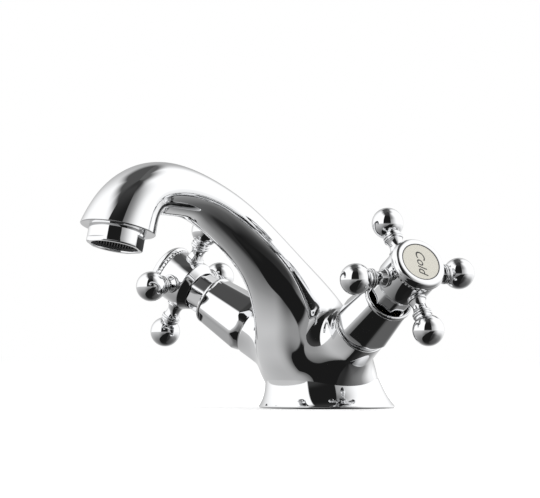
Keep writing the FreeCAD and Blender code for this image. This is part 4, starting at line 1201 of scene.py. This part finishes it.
class TAP_OT_inner_parts(bpy.types.Operator):
    """Finishes for the pieces inside the valves, the seals and the fixing side"""
    bl_idname = "tap.inner_parts"
    bl_label = "Inner parts"

    FINISHES = {
        "cartridge_body": "machined_brass", "spindle": "machined_brass", "seat_seal": "seal_rubber",
        "stem_rings": "seal_rubber", "fixed_disc": "lapped_ceramic", "moving_disc": "lapped_ceramic",
        "handle_screw": "bright_steel", "retaining_clip": "bright_steel",
        "base_seal": "seal_rubber", "aerator_washer": "seal_rubber",
    }

    def execute(self, context):
        finish = materials()
        for name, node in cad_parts.items():
            kind = name.split("_", 1)[1] if name.split("_", 1)[0] in SIDES else name
            if kind in self.FINISHES:
                node.data.materials.clear()
                node.data.materials.append(finish[self.FINISHES[kind]])
        return {"FINISHED"}


# ---------------------------------------------------------------- stage
def between(value, low, high, soft_low, soft_high):
    """1 between low and high, with a soft edge of its own width at each end."""
    return step_up(value, low - soft_low, low) * (1.0 - step_up(value, high, high + soft_high))


def painted_reflection_glow(name, points, faces, shade):
    """Glowing part of the stage that only the plating mirrors, with light and shade painted point by point: a
    painted reflection, not a lamp.
    """
    mesh = bpy.data.meshes.new(name)
    mesh.from_pydata([tuple(p) for p in points], [], faces)
    layer = mesh.color_attributes.new("shade", "FLOAT_COLOR", "POINT")
    colours = np.ones((len(points), 4), np.float32)
    colours[:, :3] = np.asarray(shade)[:, None]
    layer.data.foreach_set("color", colours.ravel())
    paint = bpy.data.materials.new(name)
    paint.use_nodes = True
    nodes = paint.node_tree.nodes
    nodes.clear()
    stored = nodes.new("ShaderNodeAttribute")
    stored.attribute_name = "shade"
    glow = nodes.new("ShaderNodeEmission")
    out = nodes.new("ShaderNodeOutputMaterial")
    wired(paint.node_tree, (stored, "Color", glow, "Color"), (glow, "Emission", out, "Surface"))
    paint.cycles.emission_sampling = "NONE"
    mesh.materials.append(paint)
    made = linked(name, mesh)
    for kind in ("camera", "diffuse", "shadow", "transmission", "volume_scatter"):
        setattr(made, "visible_" + kind, False)


def any_ray(tree, *kinds):
    """Output that is 1 for rays of these kinds."""
    path = tree.nodes.new("ShaderNodeLightPath")
    value = path.outputs[kinds[0]]
    for kind in kinds[1:]:
        either = tree.nodes.new("ShaderNodeMath")
        either.operation = "MAXIMUM"
        tree.links.new(value, either.inputs[0])
        tree.links.new(path.outputs[kind], either.inputs[1])
        value = either.outputs["Value"]
    return value


def view_direction(azimuth):
    """Horizontal direction from the object towards a camera at this azimuth."""
    return Vector((math.sin(azimuth), -math.cos(azimuth), 0.0))


class TAP_OT_stage(bpy.types.Operator):
    """Pale floor, soft light, the glowing sphere with the painted reflections for the plating, and the camera
    """
    bl_idname = "tap.stage"
    bl_label = "Stage"

    AZIMUTH = math.radians(45.704)
    ELEVATION = math.radians(-1.886)
    DISTANCE = 1.359153
    TARGET_RIGHT = -0.025049
    TARGET_UP = 0.070133
    LENS = 205.275
    HORIZON = -1.5                   # degrees, where the painted reflection changes from wall to floor
    MIDDLE = Vector((0, 0, 0.05))    # of the tap, for the lamps and the painted reflection sphere
    WORLD_LIGHT = 0.75
    ROOM_RADIUS = 3.2
    FLOOR_HALF = 6.0

    def execute(self, context):
        scene = context.scene
        stage = scene.tap_stage
        scene.view_settings.view_transform = "Standard"
        self.background(scene)
        self.floor(stage)
        self.surroundings(stage)
        self.lamps(stage)
        self.camera(scene)
        return {"FINISHED"}

    def background(self, scene):
        """World that is white where it is seen, and a little darker as a light."""
        world = bpy.data.worlds.new("studio")
        scene.world = world
        world.use_nodes = True
        nodes, links = world.node_tree.nodes, world.node_tree.links
        nodes.clear()
        choice = nodes.new("ShaderNodeMixShader")
        seen = any_ray(world.node_tree, "Is Camera Ray", "Is Glossy Ray", "Is Transmission Ray")
        links.new(seen, choice.inputs["Fac"])
        for place, strength in ((1, self.WORLD_LIGHT), (2, 1.0)):
            light = nodes.new("ShaderNodeBackground")
            light.inputs["Color"].default_value = (1, 1, 1, 1)
            light.inputs["Strength"].default_value = strength
            links.new(light.outputs["Background"], choice.inputs[place])
        out = nodes.new("ShaderNodeOutputWorld")
        links.new(choice.outputs["Shader"], out.inputs["Surface"])

    def floor(self, stage):
        """Pale floor, which fades into the white background and keeps the shadow."""
        mesh = bpy.data.meshes.new("floor")
        half = self.FLOOR_HALF
        corners = [(-half, -half, 0), (half, -half, 0), (half, half, 0), (-half, half, 0)]
        mesh.from_pydata(corners, [], [(0, 1, 2, 3)])
        floor = linked("floor", mesh)
        paint, shader = empty_material("floor_paint")
        nodes, links = paint.node_tree.nodes, paint.node_tree.links
        shader.inputs["Base Color"].default_value = (*stage.floor, 1.0)
        shader.inputs["Roughness"].default_value = 0.6
        shader.inputs["Specular IOR Level"].default_value = 0.0
        lift = nodes.new("ShaderNodeMath")
        lift.operation = "MULTIPLY"
        lift.inputs[1].default_value = stage.floor_lift
        links.new(any_ray(paint.node_tree, "Is Camera Ray", "Is Glossy Ray"), lift.inputs[0])
        shader.inputs["Emission Color"].default_value = (1, 1, 1, 1)
        links.new(lift.outputs["Value"], shader.inputs["Emission Strength"])
        mesh.materials.append(paint)
        floor.visible_glossy = False

    def surroundings(self, stage):
        """Glowing sphere round the tap with a room painted on it, which the plating shows as painted
        reflections.
        """
        towards = np.array(view_direction(self.AZIMUTH))
        right = np.array((-towards[1], towards[0], 0.0))
        turns = np.radians(np.arange(-180.0, 180.0, 1.0))
        at_horizon = (self.HORIZON - 0.1, self.HORIZON + 0.1)
        rises = np.concatenate([np.arange(-90.0, -1.9, 1.0), at_horizon, np.arange(0.0, 90.1, 1.0)])
        turn, rise = np.meshgrid(turns, np.radians(rises))
        ways = (np.cos(rise) * np.cos(turn))[..., None] * towards
        ways = ways + (np.cos(rise) * np.sin(turn))[..., None] * right
        ways = ways + np.sin(rise)[..., None] * np.array((0.0, 0.0, 1.0))
        points = ways.reshape(-1, 3) * self.ROOM_RADIUS + np.array(self.MIDDLE)
        # Painted reflection: light and shade painted on the sphere by direction.
        shade = self.painted_reflection_shade(np.degrees(turn), np.degrees(rise), stage)
        painted_reflection_glow("studio_surroundings", points, ring_faces(len(rises), len(turns)), shade.ravel())

    def painted_reflection_shade(self, turn, rise, stage):
        """Painted brightness of the mirrored room. Turn: 0 towards the camera, positive to its right. Rise:
        above level.
        """
        above, below = self.painted_room_above(turn, rise, stage), self.painted_room_below(turn, -rise, stage)
        return np.where(rise >= self.HORIZON, above, below) * stage.painted_room_brightness

    def painted_room_above(self, turn, rise, stage):
        """Painted reflection of a tall soft box on each side, a dark gap between them in front and a grey
        ceiling.
        """
        across = np.abs(turn)
        left_top = np.interp(turn, (-180, -150, -130, -70, -30), (44, 52, 64, 66, 56))
        right_top = np.interp(turn, (20, 50, 150, 180), (64, 76, 72, 46))
        left = (turn < 0) * (1.0 - step_up(rise, left_top - 9, left_top + 9))
        right = (turn >= 0) * (1.0 - step_up(rise, right_top - 14, right_top + 10))
        behind, beside_gap, high_beside_gap = 0.62, 0.68, 0.5  # how much the painted boxes are dimmed there
        left = left * (1.0 - behind * step_up(across, 115, 180))
        near_gap = 1.0 - step_up(turn, 20, 72)
        right = right * (1.0 - beside_gap * near_gap)
        right = right * (1.0 - high_beside_gap * near_gap * step_up(rise, 18, 38))
        right = right * (1.0 - behind * step_up(across, 145, 180))
        ceiling = stage.ceiling * (0.45 + 0.55 * step_up(across, 20, 80))
        ceiling = ceiling * (1.0 + 0.45 * step_up(turn, 30, 100))
        light = np.maximum(left + right, ceiling)
        band = between(turn, -31, 21, 2, 1.5) * (1.0 - step_up(rise, 74, 82))
        dark = stage.band * (0.5 + 1.5 * step_up(rise, 45, 75)) + 0.03 * (1.0 - step_up(rise, 0, 10)) ** 2
        return light * (1.0 - band) + dark * band

    def painted_room_below(self, turn, depth, stage):
        """Painted reflection of a grey floor, painted darker straight below and in front, with the dark gap
        running down into it.
        """
        front = np.interp(depth, (0, 8, 18, 28, 90), (0.28, 0.27, 0.14, 0.035, 0.010))
        left = np.interp(depth, (0, 15, 35, 57, 66, 90), (0.56, 0.42, 0.25, 0.13, 0.026, 0.010))
        right = np.interp(depth, (0, 10, 20, 30, 50, 80, 90), (0.95, 0.85, 0.52, 0.24, 0.11, 0.05, 0.010))
        behind = np.interp(depth, (0, 15, 30, 50, 70, 90), (0.62, 0.52, 0.42, 0.12, 0.022, 0.010))
        to_left, to_right = step_up(-turn, 8, 62), step_up(turn, 38, 80)
        to_back = step_up(np.abs(turn), 135, 178)
        light = front * (1.0 - to_left) * (1.0 - to_right) + left * to_left + right * to_right
        light = light * (1.0 - to_back) + behind * to_back
        left_edge = np.interp(depth, (7, 18, 36, 56, 80), (13, -4, -36, -84, -150))
        right_edge = np.interp(depth, (4, 20, 45, 90), (44, 31, 20, 20))
        gap = between(turn, left_edge, right_edge, 2, 4)
        gap = gap * step_up(depth, 5, 8) * (1.0 - step_up(depth, 74, 88))
        return light * (1.0 - gap) + 0.45 * stage.band * gap

    def lamps(self, stage):
        """Three soft square lamps. Each: name, turn from the camera, height, distance, size."""
        rows = (("left_box", -65, 0.9, 1.6, 1.4), ("right_box", 65, 0.9, 1.6, 1.4),
                ("top_box", 180, 1.8, 0.6, 1.6))
        for name, turn, height, distance, size in rows:
            light = bpy.data.lights.new(name, "AREA")
            light.shape = "SQUARE"
            light.size = size
            light.energy = stage.lamp_power
            lamp = linked(name, light)
            lamp.visible_glossy = False
            spot = view_direction(self.AZIMUTH + math.radians(turn)) * distance + Vector((0, 0, height))
            lamp.location = spot
            lamp.rotation_mode = "QUATERNION"
            lamp.rotation_quaternion = (spot - self.MIDDLE).to_track_quat("Z", "Y")

    def camera(self, scene):
        """Camera at the photo's place, with its long lens."""
        a, e = self.AZIMUTH, self.ELEVATION
        back = Vector((math.sin(a) * math.cos(e), -math.cos(a) * math.cos(e), math.sin(e)))
        right = Vector((math.cos(a), math.sin(a), 0.0))
        target = right * self.TARGET_RIGHT + Vector((0, 0, self.TARGET_UP))
        data = bpy.data.cameras.new("camera")
        data.lens = self.LENS
        data.sensor_width = 36.0
        data.clip_start, data.clip_end = 0.05, 60.0
        eye = linked("camera", data)
        eye.matrix_world = standing(right, back.cross(right), back, target + back * self.DISTANCE)
        scene.camera = eye


# ---------------------------------------------------------------- panel
OPERATORS = (TAP_OT_cast_body, TAP_OT_aerator, TAP_OT_valve_covers, TAP_OT_cross_handles,
             TAP_OT_index_caps, TAP_OT_inner_parts, TAP_OT_stage)


class TAP_PT_panel(bpy.types.Panel):
    """Settings, and a button for each group of pieces"""
    bl_idname = "TAP_PT_panel"
    bl_label = "Basin mixer"
    bl_space_type = "VIEW_3D"
    bl_region_type = "UI"
    bl_category = "Basin mixer"

    def draw(self, context):
        layout = self.layout
        for settings in (context.scene.tap_form, context.scene.tap_finish, context.scene.tap_stage):
            box = layout.box()
            for name in type(settings).__annotations__:
                box.prop(settings, name)
        for operator in OPERATORS:
            layout.operator(operator.bl_idname)


CLASSES = (TapFormSettings, TapFinishSettings, TapStageSettings) + OPERATORS + (TAP_PT_panel,)


def register():
    for made in CLASSES:
        bpy.utils.register_class(made)
    bpy.types.Scene.tap_form = bpy.props.PointerProperty(type=TapFormSettings)
    bpy.types.Scene.tap_finish = bpy.props.PointerProperty(type=TapFinishSettings)
    bpy.types.Scene.tap_stage = bpy.props.PointerProperty(type=TapStageSettings)


def unregister():
    del bpy.types.Scene.tap_stage
    del bpy.types.Scene.tap_finish
    del bpy.types.Scene.tap_form
    for made in reversed(CLASSES):
        bpy.utils.unregister_class(made)


def main():
    register()
    bpy.ops.tap.cast_body()
    bpy.ops.tap.aerator()
    bpy.ops.tap.valve_covers()
    bpy.ops.tap.cross_handles()
    bpy.ops.tap.index_caps()
    bpy.ops.tap.inner_parts()
    bpy.ops.tap.stage()


if __name__ == "__main__":
    main()
